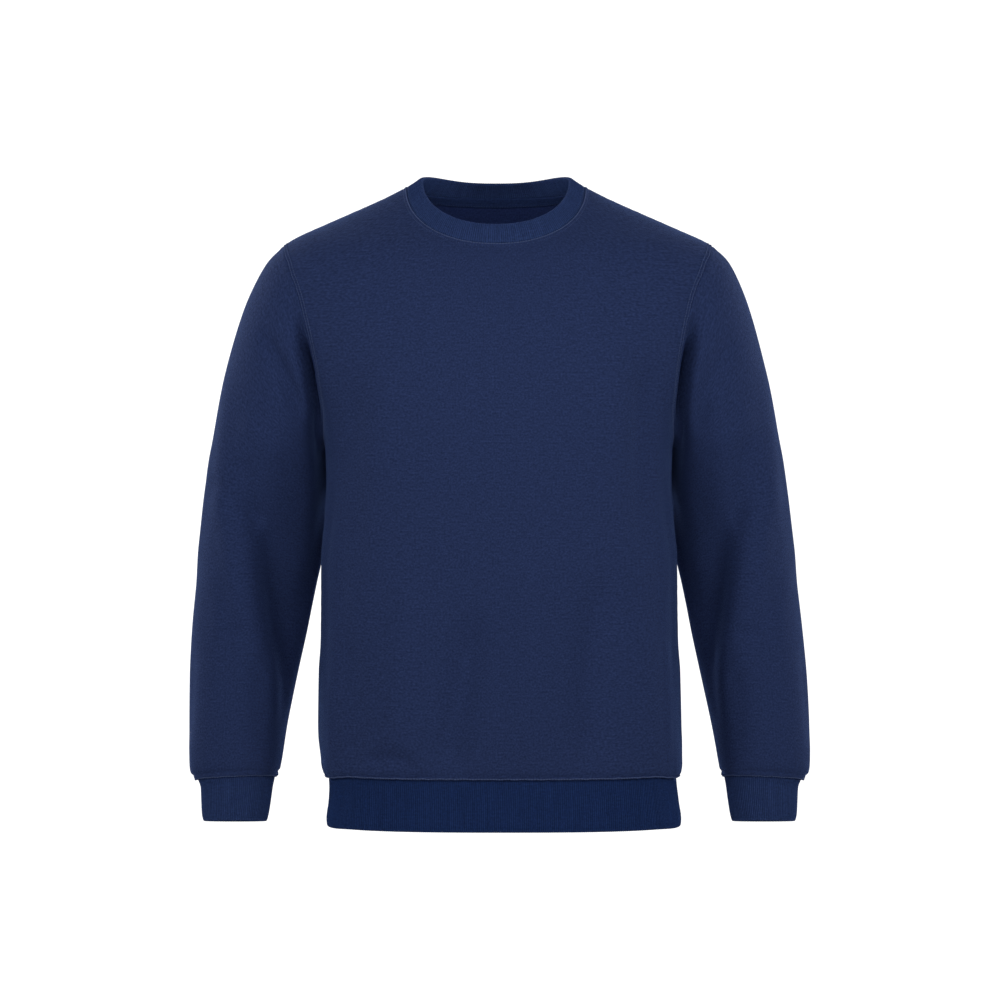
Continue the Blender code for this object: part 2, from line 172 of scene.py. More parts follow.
HEM_SIDE_X = (155.0, 184.0)  # the hem's side drop grows between these
HEM_SLEEVE_X = 200.0         # the sleeves, from here out, have none of it

# ---------------------------------------------------------------- mesh density
FINE_LINE = 3000             # points of a line that is measured before it is divided
FINE_ROUND = 1441            # and of one round the body or a band
OUTLINE_STEP = 1.5           # mm along a panel's edge
RINGS = ((0.7, 1), (1.5, 1), (2.5, 1), (3.8, 2), (5.4, 2), (7.4, 2))   # mm in, and every nth
LATTICE_START = 2.0          # mm from the hem seam to the first row
LATTICE_ROW = 2.9
LATTICE_COLUMN = 3.3
LATTICE_CLEARANCE = 9.0
PANEL_REACH = 100            # degrees that its rows reach to either side of a panel's centre
RING_CLEARANCE = 0.9         # share of a ring's distance that it keeps from the whole edge
FLATTENING = 0.85            # a panel is joined into triangles in a plane this much narrower
PANEL_ROUND = 155.0          # mm of cloth for each radian across a panel
SLEEVE_COLUMNS = 132
SLEEVE_STEP = 3.0            # mm between rows along the outer edge
SLEEVE_TOP_ROWS = (0.0, 0.7, 1.5, 2.5, 3.8, 5.5, 7.6, 10.0)      # mm along the outer edge
SLEEVE_LOW_ROWS = (24.0, 21.5, 19.0, 16.8, 14.6, 12.6, 10.7, 9.0, 7.5, 6.2, 5.0, 4.0, 3.0,
                   2.1, 1.3, 0.6, 0.0)      # mm above the cuff seam
BAND_FOLD_STEPS = 5
BAND_INNER_ROWS = 8
BAND_START = 0.004           # share of a band's depth that is left free at its seam
STRIP_COLUMNS = 150          # round a sleeve

# ---------------------------------------------------------------- stitches and tape
NECK_STITCH_AT = 1.5         # mm from the seam
NECK_TICKS_AT = 4.4
HEM_STITCH_AT = 2.3
WRIST_STITCH_AT = 2.6
ARMHOLE_STITCHES_AT = (1.3, 4.5)
ARMHOLE_STITCH_TURNS = (4, 176)      # degrees of the armhole, in front
PANEL_STITCH_REACH = 89      # degrees to either side of a panel's centre
# The tape's rows: mm below the neck seam, and in from the fleece's outer face.
TAPE_PROFILE = ((-1.0, 2.9), (0.0, 3.3), (1.2, 3.25), (2.6, 3.05), (4.2, 2.9), (5.6, 2.75),
                (6.2, 2.6), (6.9, 2.7), (8.0, 2.7), (9.0, 2.5), (9.8, 2.4), (10.6, 2.1))
TAPE_BEARINGS = (94, 266)
TAPE_STITCHES_AT = (6.2, 9.0)
TAPE_STITCH_BEARINGS = (95, 265)
TAPE_STITCH_DEPTH = 2.75     # in from the fleece's outer face

# ---------------------------------------------------------------- rib
RIB_PITCH = 2.1              # mm from one wale to the next
RIB_RELIEF = 0.32            # mm that the wales stand up and the grooves sink
WALE_CREST = 0.25            # share of that by which both are higher
RIB_SEAM_REACH = 4.0         # mm from its seam over which the relief grows
RIB_FOLD_REACH = 5.0         # mm to its folded edge over which the relief sinks
RIB_FOLD_RELIEF = 0.4        # to this share
FOLD_RADIUS = RIB / 2


def smooth_column(places, values):
    """A monotone cubic through the values, so that no column overshoots."""
    steps = np.diff(places)
    slopes = np.diff(values) / steps
    tangents = np.concatenate([slopes[:1], np.zeros(len(places) - 2), slopes[-1:]])
    for i in range(1, len(places) - 1):
        before, after = slopes[i - 1], slopes[i]
        if before * after > 0:
            weights = steps[i - 1] + 2 * steps[i], 2 * steps[i - 1] + steps[i]
            tangents[i] = sum(weights) / (weights[0] / after + weights[1] / before)

    def read(at):
        at = np.clip(at, places[0], places[-1])
        i = np.clip(np.searchsorted(places, at) - 1, 0, len(steps) - 1)
        t = (at - places[i]) / steps[i]
        return (
            (2 * t**3 - 3 * t**2 + 1) * values[i]
            + (t**3 - 2 * t**2 + t) * steps[i] * tangents[i]
            + (3 * t**2 - 2 * t**3) * values[i + 1]
            + (t**3 - t**2) * steps[i] * tangents[i + 1]
        )

    return read


def smooth_table(rows, key=None):
    """Reads all columns of a table at any height, or at any place along its rows."""
    places = np.arange(len(rows), dtype=float)
    if key:
        rows = sorted(rows, key=lambda row: getattr(row, key))
        places = np.array([getattr(row, key) for row in rows])
    columns = {
        name: smooth_column(places, np.array([getattr(row, name) for row in rows]))
        for name in rows[0]._fields
    }
    return lambda at: type(rows[0])(**{name: read(at) for name, read in columns.items()})


body_section = smooth_table(BODY, key="z")
waist_section = smooth_table(WAISTBAND, key="z")
sleeve_ring = smooth_table(SLEEVE)
cuff_ring = smooth_table(CUFF)
body_shift = smooth_column(np.array(STANCE_Z, float), np.array(BODY_SHIFT, float))
sleeve_shift = smooth_column(np.array(STANCE_Z, float), np.array(SLEEVE_SHIFT, float))


def sine(degrees):
    return np.sin(np.radians(degrees))


def cosine(degrees):
    return np.cos(np.radians(degrees))


def ease(value, low, high):
    """0 below low, 1 above high, and a smooth step between them."""
    t = np.clip((value - low) / (high - low), 0, 1)
    return t * t * (3 - 2 * t)


def unit(vectors):
    return vectors / np.maximum(np.linalg.norm(vectors, axis=-1, keepdims=True), 1e-9)


def directions(line, closed=False):
    """The unit directions along a line of points."""
    if closed:
        return unit(np.roll(line, -1, axis=0) - np.roll(line, 1, axis=0))
    return unit(np.gradient(line, axis=0))


def to_side(sign):
    """Multiplied by this, the wearer's left stays as it is, 1, or is mirrored, -1."""
    return np.array([sign, 1, 1])


def tree_of(points):
    tree = kdtree.KDTree(len(points))
    for i, point in enumerate(points):
        tree.insert(point, i)
    tree.balance()
    return tree


def runs(points):
    """The length along a line of points, up to each of them."""
    steps = np.linalg.norm(np.diff(points, axis=0), axis=-1)
    return np.concatenate([np.zeros((1, *steps.shape[1:])), np.cumsum(steps, axis=0)])


# ================================================================ the body's surface
def depth_towards(section, forwards):
    front, back = section.middle_y - section.front_y, section.back_y - section.middle_y
    return np.where(forwards >= 0, front, back)


def section_point(section, bearing, z):
    depth = depth_towards(section, cosine(bearing))
    across = np.abs(sine(bearing) / section.half_width) ** section.square
    along = np.abs(cosine(bearing) / depth) ** section.square
    radius = (across + along) ** (-1 / section.square)
    x, y = radius * sine(bearing), section.middle_y - radius * cosine(bearing)
    return np.stack(np.broadcast_arrays(x, y, z), axis=-1)


def body_point(bearing, z):
    return section_point(body_section(z), bearing, z)


def armhole_edge(turn):
    """The bearing and height of the body under the left armhole seam. The turn is 0
    at the shoulder tip, 90 in front, 180 at the underarm and 270 behind."""
    z = UNDERARM_Z + (SHOULDER_TIP_Z - UNDERARM_Z) / 2 * (1 + cosine(turn))
    section = body_section(z)
    forwards = section.middle_y - ARMHOLE_MIDDLE_Y + ARMHOLE_HALF_DEPTH * sine(turn)
    share = np.abs(forwards / depth_towards(section, forwards)) ** section.square
    x = section.half_width * (1 - share) ** (1 / section.square)
    return np.degrees(np.arctan2(x, forwards)), z


def neck_rise(turn):
    """How far a neckline has risen from its centre, turn 0, to its side, turn 90."""
    across = np.abs(sine(turn)) ** NECK_SQUARE
    return 1 - np.maximum(1 - across, 0) ** (1 / NECK_SQUARE)


def reach_at(section, x, forwards):
    """How far forward or back of its middle a level section lies at x."""
    share = np.minimum(np.abs(x) / section.half_width, 1) ** section.square
    return depth_towards(section, forwards) * (1 - share) ** (1 / section.square)


def neck_edge(bearing):
    """The body's bearing and height under the neck seam, at a bearing of the neckline."""
    centre_z = np.where(cosine(bearing) >= 0, NECK_FRONT_Z, NECK_BACK_Z)
    z = centre_z + (NECK_SIDE_Z - centre_z) * neck_rise(bearing)
    x = body_section(NECK_SIDE_Z).half_width * sine(bearing)
    forwards = reach_at(body_section(z), x, cosine(bearing)) * np.sign(cosine(bearing))
    return np.degrees(np.arctan2(x, forwards)), z


def centre_angle(angle, front):
    """A bearing, from an angle to the wearer's left of a panel's own centre line."""
    return angle if front else 180 - angle


def side_bearing(z):
    """The side seam runs straight up, then eases to where the armhole starts."""
    underarm, _ = armhole_edge(180.0)
    return 90 + (underarm - 90) * ease(z, UNDERARM_Z - SIDE_SEAM_EASE, UNDERARM_Z)


def evenly(bearings, heights, spacing):
    """A line on the body as evenly spaced bearings and heights, without its last one."""
    run = runs(body_point(bearings, heights))
    at = np.linspace(0, run[-1], max(int(round(run[-1] / spacing)), 2) + 1)[:-1]
    return np.stack([np.interp(at, run, bearings), np.interp(at, run, heights)], axis=-1)


def panel_outline(front):
    """Bearings and heights round a panel: along its hem, up the wearer's left side to
    the neck's centre, and back down the other side."""
    fine = np.linspace(0, 1, 400)
    hem = centre_angle(90 * fine, front), HEM_SEAM_Z + 0 * fine
    side_z = HEM_SEAM_Z + (UNDERARM_Z - HEM_SEAM_Z) * fine
    turns = 180 - 180 * fine if front else 180 + 180 * fine
    shoulder_z = SHOULDER_TIP_Z + (NECK_SIDE_Z - SHOULDER_TIP_Z) * fine
    stretches = (
        hem,
        (side_bearing(side_z), side_z),
        armhole_edge(turns),
        (90 + 0 * fine, shoulder_z),
        neck_edge(centre_angle(90 - 90 * fine, front)),
    )
    half = np.concatenate([evenly(*stretch, OUTLINE_STEP) for stretch in stretches])
    centre_top = [centre_angle(0.0, front), NECK_FRONT_Z if front else NECK_BACK_Z]
    other = half[:0:-1] * [-1, 1]
    return np.concatenate([half, [centre_top], other])


def body_normal(bearing, z):
    across = body_point(bearing + 0.05, z) - body_point(bearing - 0.05, z)
    along = body_point(bearing, z + 0.1) - body_point(bearing, z - 0.1)
    return unit(np.cross(across, along))


def back_on_body(points):
    """Bearings and heights of points that lie near the body."""
    forwards = body_section(points[..., 2]).middle_y - points[..., 1]
    return np.degrees(np.arctan2(points[..., 0], forwards)), points[..., 2]


def inset(bearings, heights, distance, side):
    """A line on the body moved sideways along the cloth, to its left where side is 1."""
    line = body_point(bearings, heights)
    sideways = np.cross(body_normal(bearings, heights), directions(line)) * side
    return back_on_body(line + sideways * distance)


def panel_rings(outline, side):
    """Rings of points inside a panel's edge, which carry the shape of its seams."""
    tree = tree_of(body_point(*outline.T))
    closed = np.concatenate([outline[-1:], outline, outline[:1]])
    rings = []
    for distance, every in RINGS:
        ring = np.stack(inset(*closed.T, distance, side), axis=-1)[1:-1:every]
        away = np.array([tree.find(point)[2] for point in body_point(*ring.T)])
        rings.append(ring[away > RING_CLEARANCE * distance])
    return np.concatenate(rings), tree


def panel_lattice(front, tree):
    """Points all over a panel, a few millimetres apart, and clear of its rings."""
    fine = np.linspace(HEM_SEAM_Z, NECK_SIDE_Z, FINE_LINE)
    run = runs(body_point(centre_angle(45.0, front), fine))
    levels = np.interp(np.arange(LATTICE_START, run[-1], LATTICE_ROW), run, fine)
    found = []
    angles = np.linspace(-PANEL_REACH, PANEL_REACH, 801)
    for i, z in enumerate(levels):
        level = runs(body_point(centre_angle(angles, front), z))
        middle = level[len(level) // 2]
        count = int(middle // LATTICE_COLUMN)
        at = middle + (np.arange(-count, count) + 0.5 * (i % 2)) * LATTICE_COLUMN
        bearings = centre_angle(np.interp(at, level, angles), front)
        found.append(np.stack([bearings, 0 * bearings + z], axis=-1))
    found = np.concatenate(found)
    points = body_point(*found.T)
    clear = np.array([tree.find(point)[2] for point in points]) > LATTICE_CLEARANCE
    return found[clear]


def panel_mesh(front):
    """Bearings and heights of a panel's points, its triangles, how many of its points lie
    round its edge, which come first, and where each point is on the flat cloth."""
    outline = panel_outline(front)
    rings, tree = panel_rings(outline, 1 if front else -1)
    places = np.concatenate([outline, rings, panel_lattice(front, tree)])
    angles = centre_angle(places[:, 0], front)
    angles = (angles + 180) % 360 - 180
    plane = np.radians(angles) * body_section(places[:, 1]).half_width * FLATTENING
    flat = [Vector(pair) for pair in np.stack([plane, places[:, 1]], axis=-1).tolist()]
    _, _, triangles, *_ = delaunay_2d_cdt(flat, [], [list(range(len(outline)))], 1, 1e-5)
    triangles = np.array(triangles)
    used = np.unique(triangles)
    renumbered = np.zeros(len(places), dtype=int)
    renumbered[used] = np.arange(len(used))
    places, angles = places[used], angles[used]
    uv = np.stack([np.radians(angles) * PANEL_ROUND, places[:, 1]], axis=-1)
    return places, renumbered[triangles], len(outline), uv


# ================================================================ sleeves and bands
def tube_point(ring, turn):
    """A point of a sleeve section. The turn is 0 outside, 90 in front, 180 inside."""
    half_x, half_z = (ring.outer_x - ring.inner_x) / 2, (ring.outer_z - ring.inner_z) / 2
    x = (ring.outer_x + ring.inner_x) / 2 + half_x * cosine(turn)
    y = ring.middle_y - cosine(ring.tilt) * ring.half_depth * sine(turn)
    z = (ring.outer_z + ring.inner_z) / 2 + half_z * cosine(turn)
    z = z + sine(ring.tilt) * ring.half_depth * sine(turn)
    return np.stack(np.broadcast_arrays(x, y, z), axis=-1)


def sleeve_point(turn, place):
    """A sleeve is its table's tube, drawn to the armhole's own line at the top."""
    offset = body_point(*armhole_edge(turn)) - tube_point(SLEEVE[0], turn)
    share = np.clip(1 - place / ARMHOLE_REACH, 0, 1) ** 2
    return tube_point(sleeve_ring(place), turn) + offset * np.asarray(share)[..., None]


def sleeve_places():
    """Places along the sleeve's table, closer together at both of its seams."""
    fine = np.linspace(0, len(SLEEVE) - 1, FINE_LINE)
    run = runs(sleeve_point(0.0, fine))
    middle = np.arange(SLEEVE_TOP_ROWS[-1] + SLEEVE_STEP, run[-1] - SLEEVE_LOW_ROWS[0], SLEEVE_STEP)
    low = run[-1] - np.array(SLEEVE_LOW_ROWS)
    return np.interp(np.concatenate([SLEEVE_TOP_ROWS, middle, low]), run, fine)


def sleeve_grid():
    turns = np.arange(SLEEVE_COLUMNS) * 360 / SLEEVE_COLUMNS
    return sleeve_point(turns[None, :], sleeve_places()[:, None])


def collar_top_point(bearing):
    behind = cosine(bearing) < 0
    centre_z = np.where(behind, COLLAR_TOP_BACK_Z, COLLAR_TOP_FRONT_Z)
    z = centre_z + (COLLAR_TOP_SIDE_Z - centre_z) * neck_rise(bearing)
    lift = COLLAR_BACK_LIFT * np.abs(sine(2 * bearing)) * sine(bearing) ** 2
    x = COLLAR_TOP.half_width * sine(bearing)
    y = COLLAR_TOP.middle_y - reach_at(COLLAR_TOP, x, cosine(bearing)) * np.sign(cosine(bearing))
    return np.stack(np.broadcast_arrays(x, y, z + lift * behind), axis=-1)


def collar_base(bearing, share):
    """The collar's outer face, from its seam, share 0, to its folded edge, share 1."""
    seam = body_point(*neck_edge(bearing))
    climb = collar_top_point(bearing) - seam
    along = np.stack(np.broadcast_arrays(cosine(bearing), sine(bearing), 0.0), axis=-1)
    belly = COLLAR_BELLY * np.maximum(cosine(2 * bearing), -COLLAR_HOLLOW)
    outwards = unit(np.cross(along, climb)) * belly[..., None]
    share = share[..., None]
    return seam + climb * share + outwards * np.sin(np.pi * share)


def waistband_base(bearing, share):
    z = WAISTBAND[0].z + (WAISTBAND[-1].z - WAISTBAND[0].z) * share
    return section_point(waist_section(z), bearing, z)


def cuff_base(turn, share):
    return tube_point(cuff_ring(share * (len(CUFF) - 1)), turn)


# ================================================================ relief
def grid_normals(grid, closed, outwards=1):
    """Unit normals of a grid of points. Outwards is -1 where the grid runs the other way."""
    across = np.gradient(grid, axis=1)
    if closed:
        across = np.roll(grid, -1, axis=1) - np.roll(grid, 1, axis=1)
    return unit(np.cross(across, np.gradient(grid, axis=0))) * outwards


FLAT_CREASE = 25.0           # wider than this, a crease is a plane with a rounded edge
FLAT_POWER = 4               # how square such a plane is across, where 2 is a round fold
FLAT_END = 0.46              # share of its length over which each of its ends fades
FOLD_END = 1.5               # each end of another crease fades over this many widths,
FOLD_END_SHARES = (0.25, 0.5)        # kept between these shares of its length
CREASE_STEPS = 16
Crease = namedtuple("Crease", "face x1 z1 x2 z2 x3 z3 width height")


def creases_of(face, *rows):
    """Creases as seen from one face. A row has three points, a width and a height."""
    return tuple(Crease(face, *row) for row in rows)


FRONT_CREASES = creases_of(
    "front",
    (158, -169, 149, -276, 155, -418, 14, -9),
    (-150, -189, -149, -296, -152, -428, 14, -5),
    (-163, -255, -165, -367, -161, -479, 9, -4),
    (168, -296, 167, -387, 164, -479, 9, -3),
    (107, -387, 94, -509, 93, -616, 21, -8),
    (145, -428, 153, -530, 156, -606, 16, 4),
    (-22, -428, -42, -530, -56, -616, 18, -10),
    (-142, -599, -116, -590, -83, -598, 9, -4),
    (-170, -479, -174, -545, -175, -609, 4.5, 2.6),
    (172, -464, 174, -530, 173, -603, 4.5, 2.6),
    (-160, -448, -150, -535, -156, -616, 14, -5),
    (21, -367, 35, -479, 24, -616, 22, 5),
    (-93, -387, -103, -499, -100, -616, 18, 4),
    (-103, -154, -122, -235, -135, -326, 20, 3),
    (90, -123, 117, -194, 125, -296, 20, 3),
    (-153, -113, -126, -123, -98, -154, 10, -1),
    (162, -108, 136, -123, 105, -142, 10, -1),
)
BACK_CREASES = creases_of(
    "back",
    (-150, -190, -146, -290, -152, -420, 14, -7),
    (152, -205, 147, -300, 150, -440, 14, -7),
    (-95, -430, -78, -520, -84, -603, 22, -9),
    (88, -400, 96, -500, 90, -603, 20, -8),
    (10, -470, 2, -540, 8, -603, 24, -6),
    (-170, -150, -120, -185, -60, -195, 14, -3),
    (168, -155, 116, -192, 66, -205, 14, -3),
    (-60, -60, 0, -78, 62, -60, 12, -2),
    (-128, -470, -121, -540, -128, -600, 15, 4),
    (134, -460, 130, -545, 136, -600, 14, 3.5),
)
SIDE_CREASES = creases_of(
    "outer",
    (-62, -290, -50, -400, -58, -540, 11, -2.5),
    (58, -300, 66, -420, 60, -560, 12, -2.5),
    (0, -450, 12, -520, 6, -600, 13, -2.5),
    (-30, -470, -26, -540, -30, -602, 8, 1.5),
)
# The hidden sides of both sleeves. Those behind are given for the left one.
SLEEVE_BEHIND = (
    (295, -330, 262, -345, 225, -338, 9, -3.5),
    (298, -362, 262, -372, 222, -388, 8, -3),
    (300, -400, 270, -398, 238, -412, 8, -2.5),
    (215, -200, 232, -240, 226, -300, 11, -3.5),
    (285, -440, 262, -500, 268, -575, 12, -2.5),
)
SLEEVE_OUTSIDE = (
    (5, -250, 22, -330, 30, -420, 12, 1.8),
    (66, -300, 57, -335, 46, -352, 8, -1.8),
    (64, -345, 55, -371, 44, -389, 7, -1.6),
    (10, -470, 6, -530, 4, -590, 11, -2),
)
SLEEVE_INSIDE = (
    (30, -300, 28, -380, 20, -470, 14, -3),
    (-6, -420, 4, -500, 2, -570, 10, -2),
)


def hidden_creases(sign):
    mirror = (sign, 1, sign, 1, sign, 1, 1, 1)
    behind = [[value * way for value, way in zip(row, mirror)] for row in SLEEVE_BEHIND]
    outside, inside = creases_of("outer", *SLEEVE_OUTSIDE), creases_of("inner", *SLEEVE_INSIDE)
    return creases_of("back", *behind) + outside + inside


# The widest crease of each sleeve's front is the plane that hangs back beside the body.
SLEEVE_RIGHT_CREASES = creases_of(
    "front",
    (-282, -280, -282, -368, -257, -483, 10, 3),
    (-251, -255, -207, -410, -177, -572, 41, -30),
    (-209, -462, -217, -535, -229, -608, 13, -5),
    (-303, -295, -274, -330, -239, -360, 12, -6),
    (-290, -461, -275, -464, -256, -459, 7, -2.2),
    (-283, -165, -288, -264, -293, -368, 9, 4),
    (-261, -274, -264, -318, -257, -358, 10, -4),
    (-245, -144, -222, -193, -199, -248, 8, -7),
    (-212, -118, -179, -264, -185, -431, 10, -21),
    (-244, -483, -250, -535, -248, -600, 10, -2),
    (-267, -243, -244, -260, -220, -295, 11, 2.2),
    (-307, -395, -295, -431, -294, -483, 8, 1.2),
) + hidden_creases(-1)
SLEEVE_LEFT_CREASES = creases_of(
    "front",
    (284, -280, 279, -368, 259, -478, 10, 3),
    (253, -255, 201, -410, 166, -572, 42, -30),
    (211, -462, 219, -535, 229, -608, 13, -5),
    (250, -460, 262, -465, 278, -461, 7, -2.2),
    (283, -159, 290, -264, 295, -373, 9, 4),
    (259, -253, 261, -311, 252, -368, 12, -6),
    (246, -149, 221, -210, 204, -264, 12, -5),
    (216, -118, 179, -264, 186, -431, 10, -21),
    (243, -488, 249, -541, 245, -600, 10, -2),
    (267, -227, 249, -253, 225, -287, 11, 2),
    (312, -400, 301, -435, 298, -488, 8, 1.2),
) + hidden_creases(1)


def facing(face, points, normals):
    """How much each place faces the way a crease is seen from, from 1 down to -1."""
    sideways = normals[:, 0] * np.sign(points[:, 0])
    ways = {"front": -normals[:, 1], "back": normals[:, 1], "outer": sideways, "inner": -sideways}
    return ways[face]


def crease_relief(points, normals, creases):
    """Millimetres that creases raise each point. A crease runs through three points as
    seen from one side: x and z in front and behind, y and z from the sides."""
    relief = np.zeros(len(points))
    for crease in creases:
        seen = points[:, [0, 2]] if crease.face in ("front", "back") else points[:, [1, 2]]
        start, middle, end = np.array(crease[1:7]).reshape(3, 2)
        t = np.linspace(0, 1, CREASE_STEPS + 1)[:, None]
        line = (1 - t) * (1 - 2 * t) * start + 4 * t * (1 - t) * middle + t * (2 * t - 1) * end
        nearest, place = np.full(len(points), np.inf), np.zeros(len(points))
        for i, (here, step) in enumerate(zip(line, np.diff(line, axis=0))):
            share = np.clip((seen - here) @ step / (step @ step), 0, 1)
            distance = np.linalg.norm(seen - here - share[:, None] * step, axis=1)
            closer = distance < nearest
            nearest = np.where(closer, distance, nearest)
            place = np.where(closer, (i + share) / CREASE_STEPS, place)
        flat = crease.width > FLAT_CREASE
        fold_end = np.clip(FOLD_END * crease.width / runs(line)[-1], *FOLD_END_SHARES)
        soft = FLAT_END if flat else fold_end
        fade = ease(place, 0, soft) * ease(1 - place, 0, soft)
        fade = fade * np.maximum(facing(crease.face, points, normals), 0)
        power = FLAT_POWER if flat else 2
        relief += crease.height * np.exp(-((nearest / crease.width) ** power)) * fade
    return relief


Seam = namedtuple("Seam", "bumps pucker pucker_reach")
SEAM_FORMS = {      # each bump: how far from the seam, how wide and how high, mm
    "neck": Seam(((1.7, 1.1, 0.6), (4.7, 1.1, -0.3)), 0.08, 9.0),
    "shoulder": Seam(((0.0, 0.9, -0.4), (3.0, 2.2, 0.3)), 0.06, 8.0),
    "armhole": Seam(
        ((0.0, 0.7, -0.3), (1.5, 0.9, 0.45), (3.0, 0.6, -0.2), (4.6, 0.9, 0.45)), 0.10, 10.0
    ),
    "sleeve_top": Seam(((0.0, 0.7, -0.3), (3.4, 2.4, 0.4)), 0.12, 11.0),
    "side": Seam(((0.0, 0.8, -0.6), (3.0, 2.4, 0.3)), 0.08, 9.0),
    "hem": Seam(((0.0, 0.8, -0.3), (2.3, 1.3, 1.1), (5.2, 1.5, -0.6)), 0.22, 16.0),
    "wrist": Seam(((0.0, 0.8, -0.4), (2.8, 1.9, 1.6), (6.6, 1.5, -1.1)), 0.18, 14.0),
}
BODY_SEAMS = ("neck", "shoulder", "armhole", "side", "hem")
SLEEVE_SEAMS = ("sleeve_top", "wrist")
CREASE_HOLD = 7.0            # mm from a seam over which creases die out
PUCKER_WAVES = ((9.3, 0.4, 0.8), (14.1, 1.9, 1.0), (23.7, 4.1, 0.9))   # length, phase, share


def dense_line(points, step=0.5):
    run = runs(points)
    at = np.arange(0, run[-1], step)
    return np.stack([np.interp(at, run, points[:, axis]) for axis in range(3)], axis=-1)


def seam_lines():
    """Every seam as a line of points half a millimetre apart."""
    around = np.linspace(0, 360, 721)
    armhole = body_point(*armhole_edge(around))
    side_z = np.linspace(HEM_SEAM_Z, UNDERARM_Z, 200)
    on_both_sides = {
        "armhole": armhole,
        "sleeve_top": armhole,
        "shoulder": body_point(90.0, np.linspace(SHOULDER_TIP_Z, NECK_SIDE_Z, 120)),
        "side": body_point(side_bearing(side_z), side_z),
        "wrist": tube_point(SLEEVE[-1], np.linspace(0, 360, 361)),
    }
    lines = {name: [line, line * to_side(-1)] for name, line in on_both_sides.items()}
    lines["neck"] = [body_point(*neck_edge(around))]
    lines["hem"] = [body_point(np.linspace(0, 360, FINE_ROUND), HEM_SEAM_Z)]
    return {name: [dense_line(line) for line in found] for name, found in lines.items()}


def distances_along(points, line):
    """For each point, its distance to a seam and how far along the seam that is."""
    tree = tree_of(line)
    index, distance = np.array([tree.find(point)[1:] for point in points]).T
    return distance, runs(line)[index.astype(int)]


def seam_relief(points, names):
    """Millimetres that the seams raise each point, and the share of a crease that is
    left beside them."""
    relief, share = np.zeros(len(points)), np.ones(len(points))
    for name in names:
        form = SEAM_FORMS[name]
        for line in SEAM_LINES[name]:
            distance, run = distances_along(points, line)
            for place, width, height in form.bumps:
                relief += height * np.exp(-(((distance - place) / width) ** 2))
            waves = sum(
                part * np.sin(2 * np.pi * run / length + phase)
                for length, phase, part in PUCKER_WAVES
            )
            relief += form.pucker * waves * np.exp(-distance / form.pucker_reach)
            share *= ease(distance, 0.0, CREASE_HOLD)
    return relief, share


def cloth_relief(points, normals, creases, seams):
    relief, share = seam_relief(points, seams)
    return relief + crease_relief(points, normals, creases) * share


def groove_share(points):
    """How much of the armhole groove each point takes part in."""
    turns = np.linspace(180, 0, 200)
    seam = body_point(*armhole_edge(turns))
    seam_x = np.interp(points[..., 2], seam[:, 2], seam[:, 0])
    beyond = np.abs(points[..., 0]) - seam_x - GROOVE_AT
    across = np.exp(-((beyond / np.where(beyond < 0, GROOVE_INNER, GROOVE_OUTER)) ** 2))
    starts = 1 - ease(points[..., 2], GROOVE_TOP_Z[1], GROOVE_TOP_Z[0])
    ends = ease(points[..., 2], GROOVE_END_Z[1], GROOVE_END_Z[0])
    return across * starts * ends * ease(-points[..., 1], *GROOVE_FORWARDS)


def lean(points):
    """Settle the even form into the uneven stance that the photo shows."""
    points = points.copy()
    points[..., 1] += GROOVE_DEPTH * groove_share(points)
    x, z = np.abs(points[..., 0]), points[..., 2]
    outwards = ease(x, SHIFT_BODY_X, SHIFT_SLEEVE_X)
    shift = (1 - outwards) * body_shift(z) + outwards * sleeve_shift(z)
    near_hem = np.exp(-(((z - HEM_SEAM_Z) / HEM_DROP_REACH) ** 2))
    near_hem = np.maximum(near_hem, BAND_DROP_SHARE * (z < HEM_SEAM_Z))
    at_side = ease(x, *HEM_SIDE_X) * (x < HEM_SLEEVE_X)
    points[..., 2] -= HEM_SIDE_DROP * near_hem * at_side
    points[..., 0] += shift
    return points


# ================================================================ meshes
def grid_faces(rows, columns, closed_rows, closed_columns):
    """Corner numbers of a grid's quads, and the same as unwrapped rows and columns."""
    row = np.arange(rows if closed_rows else rows - 1)
    column = np.arange(columns if closed_columns else columns - 1)
    row, column = (a.ravel() for a in np.meshgrid(row, column, indexing="ij"))
    rows_at = np.stack([row, row, row + 1, row + 1], axis=1)
    columns_at = np.stack([column, column + 1, column + 1, column], axis=1)
    corners = (rows_at % rows) * columns + columns_at % columns
    return corners, rows_at, columns_at


def make_mesh(name, points, faces, materials, uv=None, face_materials=None):
    mesh = bpy.data.meshes.new(name)
    mesh.from_pydata((points * MM).tolist(), [], faces)
    mesh.shade_smooth()
    for finish in materials:
        mesh.materials.append(finish)
    if face_materials is not None:
        mesh.polygons.foreach_set("material_index", face_materials.astype(np.int32))
    if uv is not None:
        layer = mesh.uv_layers.new(name="cloth")
        layer.uv.foreach_set("vector", uv.astype(np.float32).ravel())
    mesh.validate()
    piece = bpy.data.objects.new(name, mesh)
    bpy.context.scene.collection.objects.link(piece)
    return piece


def rim_quads(loop, count):
    """Quads from an edge loop of a face to the same loop of the face behind it, whose
    points are numbered on from count."""
    after = np.roll(loop, -1)
    return np.stack([after, loop, loop + count, after + count], axis=1)


